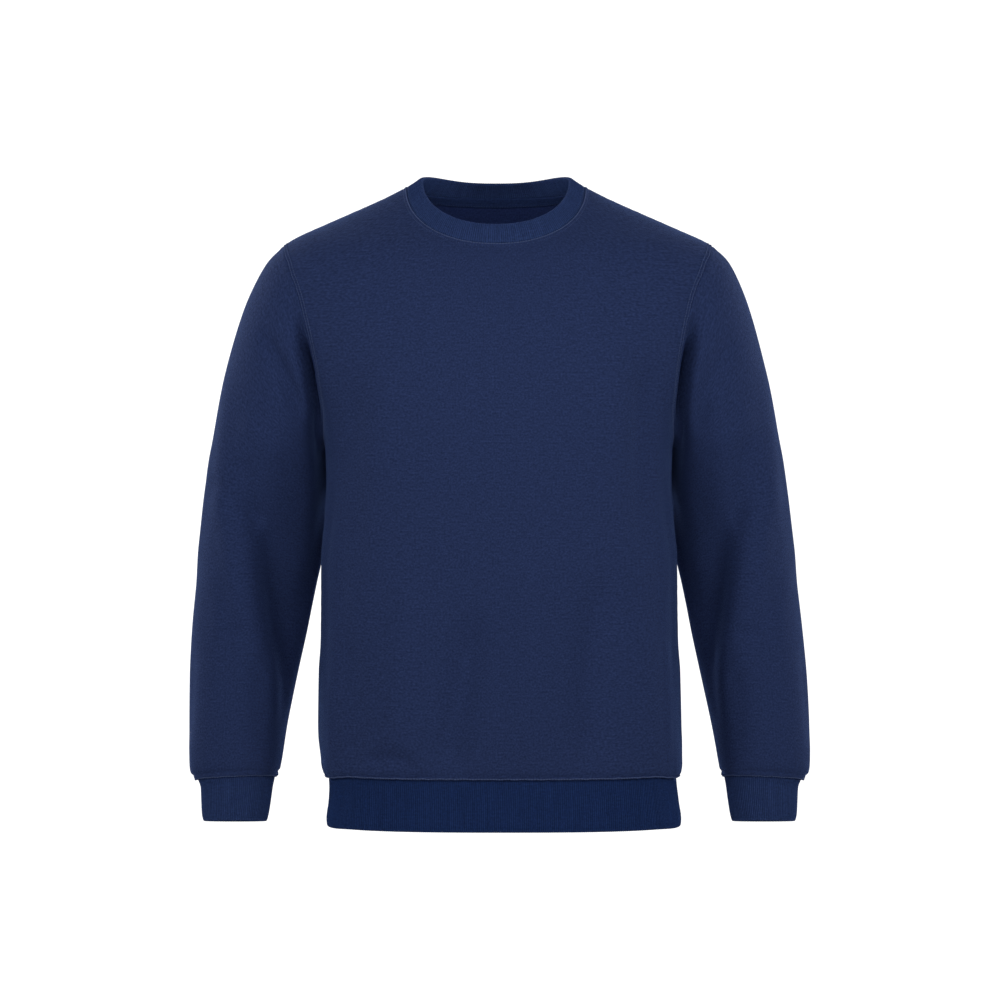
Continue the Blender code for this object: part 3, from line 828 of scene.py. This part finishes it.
def cloth_wall(name, outer, normals, faces, places, loops, finishes):
    """A closed wall of cloth: its outer face, its inner face, and a rim along each
    edge loop. Places are the millimetres across and along the cloth at face corners."""
    count = len(outer)
    points = np.concatenate([outer, outer - normals * FLEECE])
    place_of = np.zeros((count, 2))
    place_of[faces] = places
    polygons = faces.tolist() + (faces[:, ::-1] + count).tolist()
    corners = [places.reshape(-1, 2), places[:, ::-1].reshape(-1, 2)]
    for loop in loops:
        rim = rim_quads(loop, count)
        polygons += rim.tolist()
        corners.append(place_of[rim % count].reshape(-1, 2))
    inside = np.arange(len(polygons)) >= len(faces)
    return make_mesh(name, lean(points), polygons, finishes, np.concatenate(corners), inside)


def panel(name, front, creases, finishes):
    places, faces, edge_count, flat = panel_mesh(front)
    normals = body_normal(*places.T)
    points = body_point(*places.T)
    relief = cloth_relief(points, normals, creases, BODY_SEAMS)
    loop = np.arange(edge_count)
    if not front:
        faces, loop = faces[:, ::-1], loop[::-1]
    outer = points + normals * relief[:, None]
    return cloth_wall(name, outer, normals, faces, flat[faces], [loop], finishes)


def sleeve(name, sign, creases, finishes):
    grid = sleeve_grid() * to_side(sign)
    rows, columns = grid.shape[:2]
    normals = grid_normals(grid, True, sign).reshape(-1, 3)
    around = np.append(runs(grid[rows // 3]), 0)
    around[-1] = around[-2] + np.linalg.norm(grid[rows // 3, -1] - grid[rows // 3, 0])
    along = runs(grid[:, columns // 4])
    faces, rows_at, columns_at = grid_faces(rows, columns, False, True)
    places = np.stack([around[columns_at], along[rows_at]], axis=-1)
    loops = [np.arange(columns), (np.arange(columns) + (rows - 1) * columns)[::-1]]
    if sign < 0:
        faces, places, loops = faces[:, ::-1], places[:, ::-1], [loop[::-1] for loop in loops]
    points = grid.reshape(-1, 3)
    relief = cloth_relief(points, normals, creases, SLEEVE_SEAMS)
    outer = points + normals * relief[:, None]
    return cloth_wall(name, outer, normals, faces, places, loops, finishes)


Band = namedtuple("Band", "base ribs columns_per_rib height outer_rows")


def even_turns(base, count, share=0.5):
    """Turns round a band that lie evenly along its middle line."""
    fine = np.linspace(0, 360, FINE_ROUND)
    run = runs(base(fine, np.full(fine.shape, share)))
    return np.interp(np.arange(count) * run[-1] / count, run, fine)


def ribbed_band(name, band, finish, outwards=1, mirrored=1):
    """A folded band of rib. Its rows run up the outer face, round the fold, and down
    the inner face; its columns follow the wales."""
    columns = band.ribs * band.columns_per_rib
    turns = even_turns(band.base, columns)[None, :]
    shares = np.linspace(BAND_START, 1 - FOLD_RADIUS / band.height, band.outer_rows)[:, None]
    outer = band.base(turns + 0 * shares, shares + 0 * turns)
    normals = grid_normals(outer, True, outwards)
    wale = np.cos(2 * np.pi * np.arange(columns) / band.columns_per_rib)
    wale = (RIB_RELIEF * (wale + WALE_CREST * wale**2))[None, :, None]
    climb = shares[..., None] * band.height
    to_fold = ease(climb, band.height - RIB_FOLD_REACH, band.height)
    settle = ease(climb, 0.0, RIB_SEAM_REACH) * (1 - (1 - RIB_FOLD_RELIEF) * to_fold)
    up = unit(outer[-1] - outer[-2])
    rows = [outer + normals * wale * settle]
    fold = np.radians(np.linspace(0, 180, BAND_FOLD_STEPS + 2)[1:-1])[:, None, None]
    turned = np.cos(fold) * normals[-1] + np.sin(fold) * up
    centre = outer[-1] - normals[-1] * FOLD_RADIUS
    rows.append(centre + turned * (FOLD_RADIUS + RIB_FOLD_RELIEF * wale))
    down = np.linspace(len(shares) - 1, 0, BAND_INNER_ROWS).astype(int)
    rows.append(outer[down] - normals[down] * (RIB + wale * settle[down]))
    points = np.concatenate(rows)
    faces, rows_at, columns_at = grid_faces(len(points), columns, True, True)
    across = np.arange(columns + 1) * RIB_PITCH / band.columns_per_rib
    along = np.append(runs(points[:, 0]), 0)
    uv = np.stack([across[columns_at], along[rows_at]], axis=-1)
    if outwards * mirrored < 0:
        faces, uv = faces[:, ::-1], uv[:, ::-1]
    points = points * to_side(mirrored)
    return make_mesh(name, lean(points.reshape(-1, 3)), faces.tolist(), [finish], uv)


# ================================================================ stitches
Stitch = namedtuple("Stitch", "pitch length radius lift across")
TOPSTITCH = Stitch(3.0, 2.75, 0.34, 0.05, False)
BAND_STITCH = Stitch(3.0, 2.85, 0.72, 0.25, False)
NECK_STITCH = Stitch(3.0, 2.85, 0.60, 0.10, False)
NECK_TICK = Stitch(2.1, 1.7, 0.28, 0.0, True)
TAPE_STITCH = Stitch(2.8, 2.2, 0.28, 0.1, False)
STITCH_SIDES = 6
STITCH_RINGS = ((-0.5, 0.35, -0.6), (-0.36, 0.85, -0.1), (-0.12, 1.0, 0.1), (0.12, 1.0, 0.1),
                (0.36, 0.85, -0.1), (0.5, 0.35, -0.6))      # along, thickness, rise


def spaced(points, normals, pitch):
    """Places evenly spaced along a line: points, directions and normals."""
    run = runs(points)
    count = int(run[-1] // pitch)
    at = (np.arange(count) + 0.5) * run[-1] / count
    along = directions(points)

    def read(values):
        return np.stack([np.interp(at, run, values[:, axis]) for axis in range(3)], axis=-1)

    return read(points), unit(read(along)), unit(read(normals))


def stitch_points(points, normals, kind):
    """The points of a row of stitches, each a short thread that dips in at its ends."""
    points, along, normals = spaced(points, normals, kind.pitch)
    if kind.across:
        along = np.cross(normals, along)
    beside = np.cross(normals, along)
    turns = 2 * np.pi * np.arange(STITCH_SIDES) / STITCH_SIDES
    rings = []
    for share, thickness, rise in STITCH_RINGS:
        centre = points + along * share * kind.length + normals * (kind.lift + rise * kind.radius)
        for turn in turns:
            out = np.cos(turn) * beside + np.sin(turn) * normals
            rings.append(centre + out * kind.radius * thickness)
    return np.stack(rings, axis=1)


def threads(name, rows, finish):
    """One mesh of many stitches. Each row is points, normals and its kind of stitch."""
    stitches = np.concatenate([stitch_points(*row) for row in rows])
    each = len(STITCH_RINGS) * STITCH_SIDES
    sides, _, _ = grid_faces(len(STITCH_RINGS), STITCH_SIDES, False, True)
    firsts = np.arange(len(stitches)) * each
    quads = (sides[None] + firsts[:, None, None]).reshape(-1, 4).tolist()
    cap = np.arange(STITCH_SIDES)
    caps = np.stack([cap[::-1], cap + each - STITCH_SIDES])
    quads += (caps[None] + firsts[:, None, None]).reshape(-1, STITCH_SIDES).tolist()
    return make_mesh(name, lean(stitches.reshape(-1, 3)), quads, [finish])


def row_on_body(bearings, heights, creases, kind, sign=1):
    """A row of stitches along a line on the body, raised as the cloth under it is."""
    points = body_point(bearings, heights) * to_side(sign)
    normals = body_normal(bearings, heights) * to_side(sign)
    relief = cloth_relief(points, normals, creases, BODY_SEAMS)
    return points + normals * relief[:, None], normals, kind


def panel_threads(name, front, creases, finish):
    rows = []
    around = np.linspace(-PANEL_STITCH_REACH, PANEL_STITCH_REACH, 300)
    neck = neck_edge(centre_angle(around, front))
    side = -1 if front else 1
    for distance, kind in ((NECK_STITCH_AT, NECK_STITCH), (NECK_TICKS_AT, NECK_TICK)):
        rows.append(row_on_body(*inset(*neck, distance, side), creases, kind))
    hem = centre_angle(around, front), np.full(300, HEM_SEAM_Z)
    rows.append(row_on_body(*inset(*hem, HEM_STITCH_AT, -side), creases, BAND_STITCH))
    turns = np.linspace(*ARMHOLE_STITCH_TURNS, 300)
    turns = turns if front else 360 - turns
    for distance in ARMHOLE_STITCHES_AT:
        line = inset(*armhole_edge(turns), distance, side)
        for sign in (1, -1):
            rows.append(row_on_body(*line, creases, TOPSTITCH, sign))
    return threads(name, rows, finish)


STITCH_SLOPE_STEP = 0.02     # of a row of the sleeve's table, to tell its slope


def sleeve_threads(name, sign, creases, finish):
    fine = np.linspace(len(SLEEVE) - 5, len(SLEEVE) - 1, 400)
    run = runs(sleeve_point(0.0, fine))
    place = np.interp(run[-1] - WRIST_STITCH_AT, run, fine)
    turns = np.linspace(0, 360, 241)
    points = sleeve_point(turns, place + 0 * turns)
    below = sleeve_point(turns, place + STITCH_SLOPE_STEP + 0 * turns)
    normals = unit(np.cross(np.gradient(points, axis=0), below - points)) * to_side(sign)
    points = points * to_side(sign)
    relief = cloth_relief(points, normals, creases, SLEEVE_SEAMS)
    return threads(name, [(points + normals * relief[:, None], normals, BAND_STITCH)], finish)


# ================================================================ inside the seams
STRIP_PROFILE = ((-3.2, 0.1), (-2.9, 0.45), (0.0, 0.6), (2.9, 0.45), (3.2, 0.1),
                 (2.9, -0.45), (0.0, -0.6), (-2.9, -0.45))   # across and out, mm
STRIP_DEPTH = FLEECE + 0.35  # its middle lies just behind the cloth
STRIP_SLOPE_STEP = 0.05      # of a row of the sleeve's table, to tell its slope
STRIP_FROM_ARMHOLE = 2       # mm in height that a strip stops short of the armhole
STRIP_FROM_EDGE = 1          # and of the neck or the hem


def seam_strips(name, lines, finish):
    """The turned-in cloth behind seams, one flat strip along each line."""
    points, faces = [], []
    for line, normals, closed in lines:
        beside = np.cross(normals, directions(line, closed))
        centre = line - normals * STRIP_DEPTH
        rings = [centre + beside * across + normals * out for across, out in STRIP_PROFILE]
        corners, _, _ = grid_faces(len(line), len(STRIP_PROFILE), closed, True)
        faces += (corners[:, ::-1] + sum(map(len, points))).tolist()
        points.append(np.stack(rings, axis=1).reshape(-1, 3))
    return make_mesh(name, lean(np.concatenate(points)), faces, [finish])


def body_strips(name, front, finish):
    """Behind the side seams, the shoulder seams and the hem."""
    lines = []
    shoulder_ends = SHOULDER_TIP_Z + STRIP_FROM_ARMHOLE, NECK_SIDE_Z - STRIP_FROM_EDGE
    side_ends = HEM_SEAM_Z + STRIP_FROM_EDGE, UNDERARM_Z - STRIP_FROM_ARMHOLE
    shoulder_z, side_z = np.linspace(*shoulder_ends, 50), np.linspace(*side_ends, 100)
    if front:
        for bearings, heights in ((90 + 0 * shoulder_z, shoulder_z), (side_bearing(side_z), side_z)):
            line, normals = body_point(bearings, heights), body_normal(bearings, heights)
            lines += [(line * to_side(sign), normals * to_side(sign), False) for sign in (1, -1)]
    around = np.linspace(-90, 90, 170)
    hem = centre_angle(around, front), np.full(170, HEM_SEAM_Z)
    lines.append((body_point(*hem), body_normal(*hem), False))
    return seam_strips(name, lines, finish)


def sleeve_strips(name, sign, finish):
    """Behind the armhole seam and the cuff seam."""
    turns = np.arange(STRIP_COLUMNS) * 360 / STRIP_COLUMNS
    lines = []
    for place in (0.0, len(SLEEVE) - 1.0):
        line = sleeve_point(turns, place + 0 * turns)
        beyond = sleeve_point(turns, abs(place - STRIP_SLOPE_STEP) + 0 * turns)
        down = beyond - line if place == 0 else line - beyond
        normals = unit(np.cross(directions(line, closed=True), down))
        if place == 0:
            normals = unit(normals + body_normal(*armhole_edge(turns)))
        lines.append((line * to_side(sign), normals * to_side(sign), True))
    return seam_strips(name, lines, finish)


def neck_tape(name, finish):
    """The strip over the back neck seam, inside."""
    bearings = np.linspace(*TAPE_BEARINGS, 150)
    rows = []
    for distance, depth in TAPE_PROFILE:
        line = inset(*neck_edge(bearings), distance, -1)
        rows.append(body_point(*line) - body_normal(*line) * depth)
    inner = np.array(rows)
    outer = inner + grid_normals(inner, False) * TAPE_WALL
    count = inner.shape[0] * inner.shape[1]
    faces, rows_at, columns_at = grid_faces(*inner.shape[:2], False, False)
    edge = np.arange(count).reshape(inner.shape[:2])
    loop = np.concatenate([edge[0], edge[1:, -1], edge[-1, -2::-1], edge[-2:0:-1, 0]])
    rim = rim_quads(loop, count)
    across = runs(inner[0])
    places = np.stack([across[columns_at], np.array(TAPE_PROFILE)[rows_at, 0]], axis=-1)
    both_faces = np.concatenate([places, places[:, ::-1]]).reshape(-1, 2)
    corners = np.concatenate([both_faces, np.zeros((rim.size, 2))])
    polygons = faces.tolist() + (faces[:, ::-1] + count).tolist() + rim.tolist()
    points = np.concatenate([outer.reshape(-1, 3), inner.reshape(-1, 3)])
    return make_mesh(name, lean(points), polygons, [finish], corners)


def tape_threads(name, finish):
    """The two rows of stitches that hold the strip down."""
    bearings = np.linspace(*TAPE_STITCH_BEARINGS, 300)
    rows = []
    for distance in TAPE_STITCHES_AT:
        line = inset(*neck_edge(bearings), distance, -1)
        normals = -body_normal(*line)
        rows.append((body_point(*line) + normals * TAPE_STITCH_DEPTH, normals, TAPE_STITCH))
    return threads(name, rows, finish)


# ================================================================ materials
FLEECE_NAVY = (0.0206, 0.0344, 0.1000)
FLEECE_INSIDE = (0.0200, 0.0345, 0.1200)
RIB_NAVY = (0.0206, 0.0384, 0.1150)
RIB_PAINTED_SHADE_NAVY = (0.0105, 0.0255, 0.092)      # painted shade: a darker copy of the rib colour for the light falling off at the hem
TAPE_NAVY = (0.0185, 0.0350, 0.1120)
# The thread's navy, made lighter than the fleece as a painted highlight on the stitched ridges.
THREAD_NAVY_AND_HIGHLIGHT = (0.060, 0.086, 0.190)
CLOTH_ROUGHNESS = 0.9
# Noise over the cloth: squeeze across and along it, cells in a millimetre, and detail.
GRAIN = ((0.85, 1.0), 0.5, 1.5)
STREAK = ((0.16, 1.0), 0.5, 1.0)     # runs across, as the courses do
WALE_GRAIN = ((1.0, 0.04), 0.4, 1.0)         # runs along, as the wales do
NOISE_ROUGHNESS = 0.6
NOISE_RANGE = {"From Min": 0.25, "From Max": 0.75}
FUZZ = {"Scale": 1.6, "Detail": 3.0, "Roughness": 0.7}
KNIT_WALE = 1.0              # mm from one column of stitches to the next
KNIT_COURSE = 0.8            # mm from one row of stitches to the next
KNIT_SLANT = 1.6             # how steeply each half of a stitch climbs
SPECULAR = 0.06
SHEEN_ROUGHNESS = 0.3
SHEEN_TINT = (0.25, 0.42, 1.0, 1)
FUZZ_HEIGHT = 0.0004         # metres
KNIT_HEIGHT = 0.0001


def add_node(tree, kind, **settings):
    node = tree.nodes.new(kind)
    for key, value in settings.items():
        if key in node.inputs:
            node.inputs[key].default_value = value
        else:
            setattr(node, key, value)
    return node


def math_node(tree, operation, *values):
    """A Math node's result. Each value is a number, or another node's output."""
    node = add_node(tree, "ShaderNodeMath", operation=operation)
    for socket, value in zip(node.inputs, values):
        if isinstance(value, bpy.types.NodeSocket):
            tree.links.new(value, socket)
        else:
            socket.default_value = value
    return node.outputs[0]


def ways_of(tree, place):
    """How far across and how far along the cloth a place is, as two outputs."""
    parted = add_node(tree, "ShaderNodeSeparateXYZ")
    tree.links.new(place, parted.inputs[0])
    return parted.outputs["X"], parted.outputs["Y"]


def speckle(tree, place, stretch, scale, detail, strength):
    """Noise over the cloth as a factor round 1. Stretch squeezes it along each way."""
    squeezed = add_node(tree, "ShaderNodeMapping", Scale=(*stretch, 1.0))
    noise = add_node(tree, "ShaderNodeTexNoise", Scale=scale, Detail=detail, Roughness=NOISE_ROUGHNESS)
    factors = {"To Min": 1 - strength, "To Max": 1 + strength}
    spread = add_node(tree, "ShaderNodeMapRange", clamp=False, **NOISE_RANGE, **factors)
    tree.links.new(place, squeezed.inputs["Vector"])
    tree.links.new(squeezed.outputs[0], noise.inputs["Vector"])
    tree.links.new(noise.outputs[0], spread.inputs["Value"])
    return spread.outputs[0]


def wale_waves(tree, place, pitch):
    """Waves from -1 to 1 across the cloth, highest on the middle line of each wale."""
    across, _ = ways_of(tree, place)
    return math_node(tree, "COSINE", math_node(tree, "MULTIPLY", across, 2 * np.pi / pitch))


def knit_height(tree, place, wale, course):
    """The small V-shaped stitches of a jersey face, as a height from -1 to 1: slanted
    waves that change side in the middle of each wale."""
    across, along = ways_of(tree, place)
    across = math_node(tree, "PINGPONG", across, wale / 2)
    slanted = math_node(tree, "MULTIPLY_ADD", across, KNIT_SLANT, along)
    wave = math_node(tree, "SINE", math_node(tree, "MULTIPLY", slanted, 2 * np.pi / course))
    return math_node(tree, "MULTIPLY", wave, wale_waves(tree, place, wale))


# wale_shade: how strongly shade is painted into the rib's grooves and light onto its wales.
Cloth = namedtuple("Cloth", "colour grain streak wale_shade wale_grain knit fuzz sheen")


def cloth_material(name, cloth):
    """Knitted cotton: a heather grain, faint courses, painted shade in the grooves and a painted
    highlight on the wales where it is ribbed, and the stitches and the fuzz of the knit as bump."""
    made = bpy.data.materials.new(name)
    made.use_nodes = True
    tree = made.node_tree
    shader = tree.nodes["Principled BSDF"]
    looks = {
        "Roughness": CLOTH_ROUGHNESS,
        "Specular IOR Level": SPECULAR,
        "Sheen Weight": cloth.sheen,
        "Sheen Roughness": SHEEN_ROUGHNESS,
        "Sheen Tint": SHEEN_TINT,
    }
    for socket, look in looks.items():
        shader.inputs[socket].default_value = look
    link = tree.links.new
    place = add_node(tree, "ShaderNodeUVMap", uv_map="cloth").outputs[0]
    grain = speckle(tree, place, *GRAIN, cloth.grain)
    streak = speckle(tree, place, *STREAK, cloth.streak)
    value = math_node(tree, "MULTIPLY", grain, streak)
    # Painted shade and highlight: the rib's grooves are painted darker and its wale tops lighter.
    if cloth.wale_shade:
        waves = wale_waves(tree, place, RIB_PITCH)
        shade = math_node(tree, "MULTIPLY_ADD", waves, cloth.wale_shade, 1.0)
        uneven = speckle(tree, place, *WALE_GRAIN, cloth.wale_grain)
        value = math_node(tree, "MULTIPLY", math_node(tree, "MULTIPLY", value, shade), uneven)
    tint = add_node(tree, "ShaderNodeVectorMath", operation="SCALE")
    tint.inputs[0].default_value = cloth.colour
    link(value, tint.inputs["Scale"])
    link(tint.outputs[0], shader.inputs["Base Color"])
    fuzz = add_node(tree, "ShaderNodeTexNoise", **FUZZ)
    link(place, fuzz.inputs["Vector"])
    bump = add_node(tree, "ShaderNodeBump", Strength=cloth.fuzz, Distance=FUZZ_HEIGHT)
    link(fuzz.outputs[0], bump.inputs["Height"])
    stitches = add_node(tree, "ShaderNodeBump", Strength=cloth.knit, Distance=KNIT_HEIGHT)
    link(knit_height(tree, place, KNIT_WALE, KNIT_COURSE), stitches.inputs["Height"])
    link(bump.outputs[0], stitches.inputs["Normal"])
    link(stitches.outputs[0], shader.inputs["Normal"])
    return made


# ================================================================ light, floor, camera
PHOTO_DISTANCE = 3.6         # metres from the camera to the garment's middle plane
PHOTO_WIDTH = 1.05           # metres across the picture there
PHOTO_CENTRE = (0.00105, -0.3265)     # x and z in the middle of the picture
FLOOR_Z = -1.6
FLOOR_HALF = 0.9
FLOOR_COLOUR = (0.9, 0.9, 0.9, 1)
FLOOR_ROUGHNESS = 0.8
SENSOR_WIDTH = 36.0
WHITE = (1, 1, 1, 1)
WORLD_SEEN = 1.2             # the background's strength where the camera sees it
WORLD_AROUND = 0.004         # and as light on the cloth
LIGHT_AIM = (0.0, 0.0, -0.3)
# The low lights behind are soft light only and leave no shine on the cloth.
Light = namedtuple("Light", "name azimuth elevation distance size watts shine", defaults=(True,))
STUDIO_LIGHTS = (
    Light("front_right", -50, 5, 2.0, 0.9, 13.4),
    Light("front_left", 50, 5, 2.0, 0.9, 14.6),
    Light("near_above", 0, 38.7, 1.28, 0.6, 3.7),
    Light("near_front", 0, 8.8, 1.32, 0.6, 2.8),
    Light("side_right", -110, 5, 2.0, 0.9, 11.0),
    Light("side_left", 110, 5, 2.0, 0.9, 10.8),
    Light("behind_right", -130, 35, 2.0, 0.9, 17.5),
    Light("behind_left", 130, 35, 2.0, 0.9, 13.5),
    Light("low_right", -154, -6, 2.0, 0.6, 26.0, shine=False),
    Light("low_left", 154, -6, 2.0, 0.6, 26.0, shine=False),
)


def area_light(light):
    """A soft square light round the garment, aimed at its middle. Azimuth 0 is in front,
    and 90 at the wearer's left."""
    lamp = bpy.data.lights.new(light.name, "AREA")
    lamp.size = light.size
    lamp.energy = light.watts
    holder = bpy.data.objects.new(light.name, lamp)
    bpy.context.scene.collection.objects.link(holder)
    level = cosine(light.elevation)
    away = np.array([
        level * sine(light.azimuth),
        -level * cosine(light.azimuth),
        sine(light.elevation),
    ])
    holder.location = np.array(LIGHT_AIM) + away * light.distance
    holder.rotation_euler = Vector(-away).to_track_quat("-Z", "Y").to_euler()
    holder.visible_glossy = light.shine


def photo_camera():
    lens = bpy.data.cameras.new("camera")
    lens.sensor_width = SENSOR_WIDTH
    lens.lens = SENSOR_WIDTH * PHOTO_DISTANCE / PHOTO_WIDTH
    lens.clip_end = 100.0
    camera = bpy.data.objects.new("camera", lens)
    bpy.context.scene.collection.objects.link(camera)
    camera.location = (PHOTO_CENTRE[0], -PHOTO_DISTANCE, PHOTO_CENTRE[1])
    camera.rotation_euler = (np.radians(90), 0, 0)
    bpy.context.scene.camera = camera


def white_world():
    """White where the camera sees it, and almost no light from there on the cloth."""
    world = bpy.data.worlds.new("white_studio")
    bpy.context.scene.world = world
    world.use_nodes = True
    tree = world.node_tree
    tree.nodes.clear()
    seen = add_node(tree, "ShaderNodeBackground", Color=WHITE, Strength=WORLD_SEEN)
    around = add_node(tree, "ShaderNodeBackground", Color=WHITE, Strength=WORLD_AROUND)
    path = add_node(tree, "ShaderNodeLightPath")
    mix = add_node(tree, "ShaderNodeMixShader")
    out = add_node(tree, "ShaderNodeOutputWorld")
    tree.links.new(path.outputs["Is Camera Ray"], mix.inputs[0])
    tree.links.new(around.outputs[0], mix.inputs[1])
    tree.links.new(seen.outputs[0], mix.inputs[2])
    tree.links.new(mix.outputs[0], out.inputs[0])


def pale_floor():
    mesh = bpy.data.meshes.new("floor")
    signs = ((-1, -1), (1, -1), (1, 1), (-1, 1))
    corners = [(x * FLOOR_HALF, y * FLOOR_HALF, FLOOR_Z) for x, y in signs]
    mesh.from_pydata(corners, [], [(0, 1, 2, 3)])
    floor = bpy.data.objects.new("floor", mesh)
    bpy.context.scene.collection.objects.link(floor)
    pale = bpy.data.materials.new("pale_floor")
    pale.use_nodes = True
    shader = pale.node_tree.nodes["Principled BSDF"]
    shader.inputs["Base Color"].default_value = FLOOR_COLOUR
    shader.inputs["Roughness"].default_value = FLOOR_ROUGHNESS
    mesh.materials.append(pale)


def studio():
    view = bpy.context.scene.view_settings
    view.view_transform = "Standard"
    view.look = "None"
    photo_camera()
    for light in STUDIO_LIGHTS:
        area_light(light)
    white_world()
    pale_floor()


# ================================================================ the garment
SEAM_LINES = seam_lines()
# Its fourth number paints shade into the rib's grooves and light onto its wales.
RIB_CLOTH = Cloth(RIB_NAVY, 0.24, 0.1, 0.24, 0.12, 0.4, 0.3, 0.25)
CLOTHS = {
    "fleece": Cloth(FLEECE_NAVY, 0.32, 0.10, 0, 0, 0.5, 0.35, 0.25),
    "fleece_inside": Cloth(FLEECE_INSIDE, 0.34, 0.1, 0, 0, 0, 0.8, 0.2),
    "rib": RIB_CLOTH,
    # The waistband's rib is a darker copy of the collar's and cuffs', painted shade for the light
    # falling off at the bottom.
    "rib_painted_shade": RIB_CLOTH._replace(colour=RIB_PAINTED_SHADE_NAVY),
    "tape": Cloth(TAPE_NAVY, 0.3, 0.1, 0, 0, 0.3, 0.3, 0.12),
    "thread": Cloth(THREAD_NAVY_AND_HIGHLIGHT, 0.1, 0.05, 0, 0, 0, 0.2, 0.1),
}
finishes = {name: cloth_material(name, cloth) for name, cloth in CLOTHS.items()}
walls = [finishes["fleece"], finishes["fleece_inside"]]
PANELS = {      # whether it is the front one, and its creases
    "front": (True, FRONT_CREASES + SIDE_CREASES),
    "back": (False, BACK_CREASES + SIDE_CREASES),
}
SLEEVES = {"sleeve_left": (1, SLEEVE_LEFT_CREASES), "sleeve_right": (-1, SLEEVE_RIGHT_CREASES)}
COLLAR_BAND = Band(collar_base, 262, 6, 21.0, 14)
WAIST_BAND = Band(waistband_base, 456, 4, 51.0, 16)
CUFF_BAND = Band(cuff_base, 100, 6, 45.0, 18)

pieces = {node: panel(f"{node}_cloth", *form, walls) for node, form in PANELS.items()}
for node, form in SLEEVES.items():
    pieces[node] = sleeve(f"{node}_cloth", *form, walls)
pieces["collar"] = ribbed_band("collar_rib", COLLAR_BAND, finishes["rib"])
pieces["waistband"] = ribbed_band("waistband_rib", WAIST_BAND, finishes["rib_painted_shade"], outwards=-1)
pieces["cuff_left"] = ribbed_band("cuff_left_rib", CUFF_BAND, finishes["rib"])
pieces["cuff_right"] = ribbed_band("cuff_right_rib", CUFF_BAND, finishes["rib"], mirrored=-1)
pieces["neck_tape"] = neck_tape("neck_tape_strip", finishes["tape"])

extras = {}
for node, (is_front, creases) in PANELS.items():
    extras[node] = (
        panel_threads(f"{node}_threads", is_front, creases, finishes["thread"]),
        body_strips(f"{node}_seam_strips", is_front, finishes["fleece_inside"]),
    )
for node, (sign, creases) in SLEEVES.items():
    extras[node] = (
        sleeve_threads(f"{node}_threads", sign, creases, finishes["thread"]),
        sleeve_strips(f"{node}_seam_strips", sign, finishes["fleece_inside"]),
    )
extras["neck_tape"] = (tape_threads("neck_tape_threads", finishes["thread"]),)

for node, piece in pieces.items():
    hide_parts(node)
    for part in (piece, *extras.get(node, ())):
        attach(part, "root")

# The cut of what shows of each piece: width and length in metres, area in square metres
# where it is no rectangle, how it is held, and the pieces that it hangs from or lies on.
Sheet = namedtuple("Sheet", "width length area held rests_on")
SHEETS = {
    "front": Sheet(0.535, 0.665, 0.316, "hung", ("back",)),
    "back": Sheet(0.535, 0.668, 0.321, "hung", ("front",)),
    "sleeve_left": Sheet(0.490, 0.610, 0.196, "hung", ("front", "back")),
    "sleeve_right": Sheet(0.490, 0.610, 0.196, "hung", ("front", "back")),
    "collar": Sheet(0.527, 0.0216, None, "stretched", ("front", "back")),
    "waistband": Sheet(0.950, 0.0535, None, "stretched", ("front", "back")),
    "cuff_left": Sheet(0.185, 0.046, None, "stretched", ("sleeve_left",)),
    "cuff_right": Sheet(0.185, 0.046, None, "stretched", ("sleeve_right",)),
    "neck_tape": Sheet(0.300, 0.012, None, "folded", ("back", "collar")),
}
for node, cut in SHEETS.items():
    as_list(cut.rests_on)

studio()
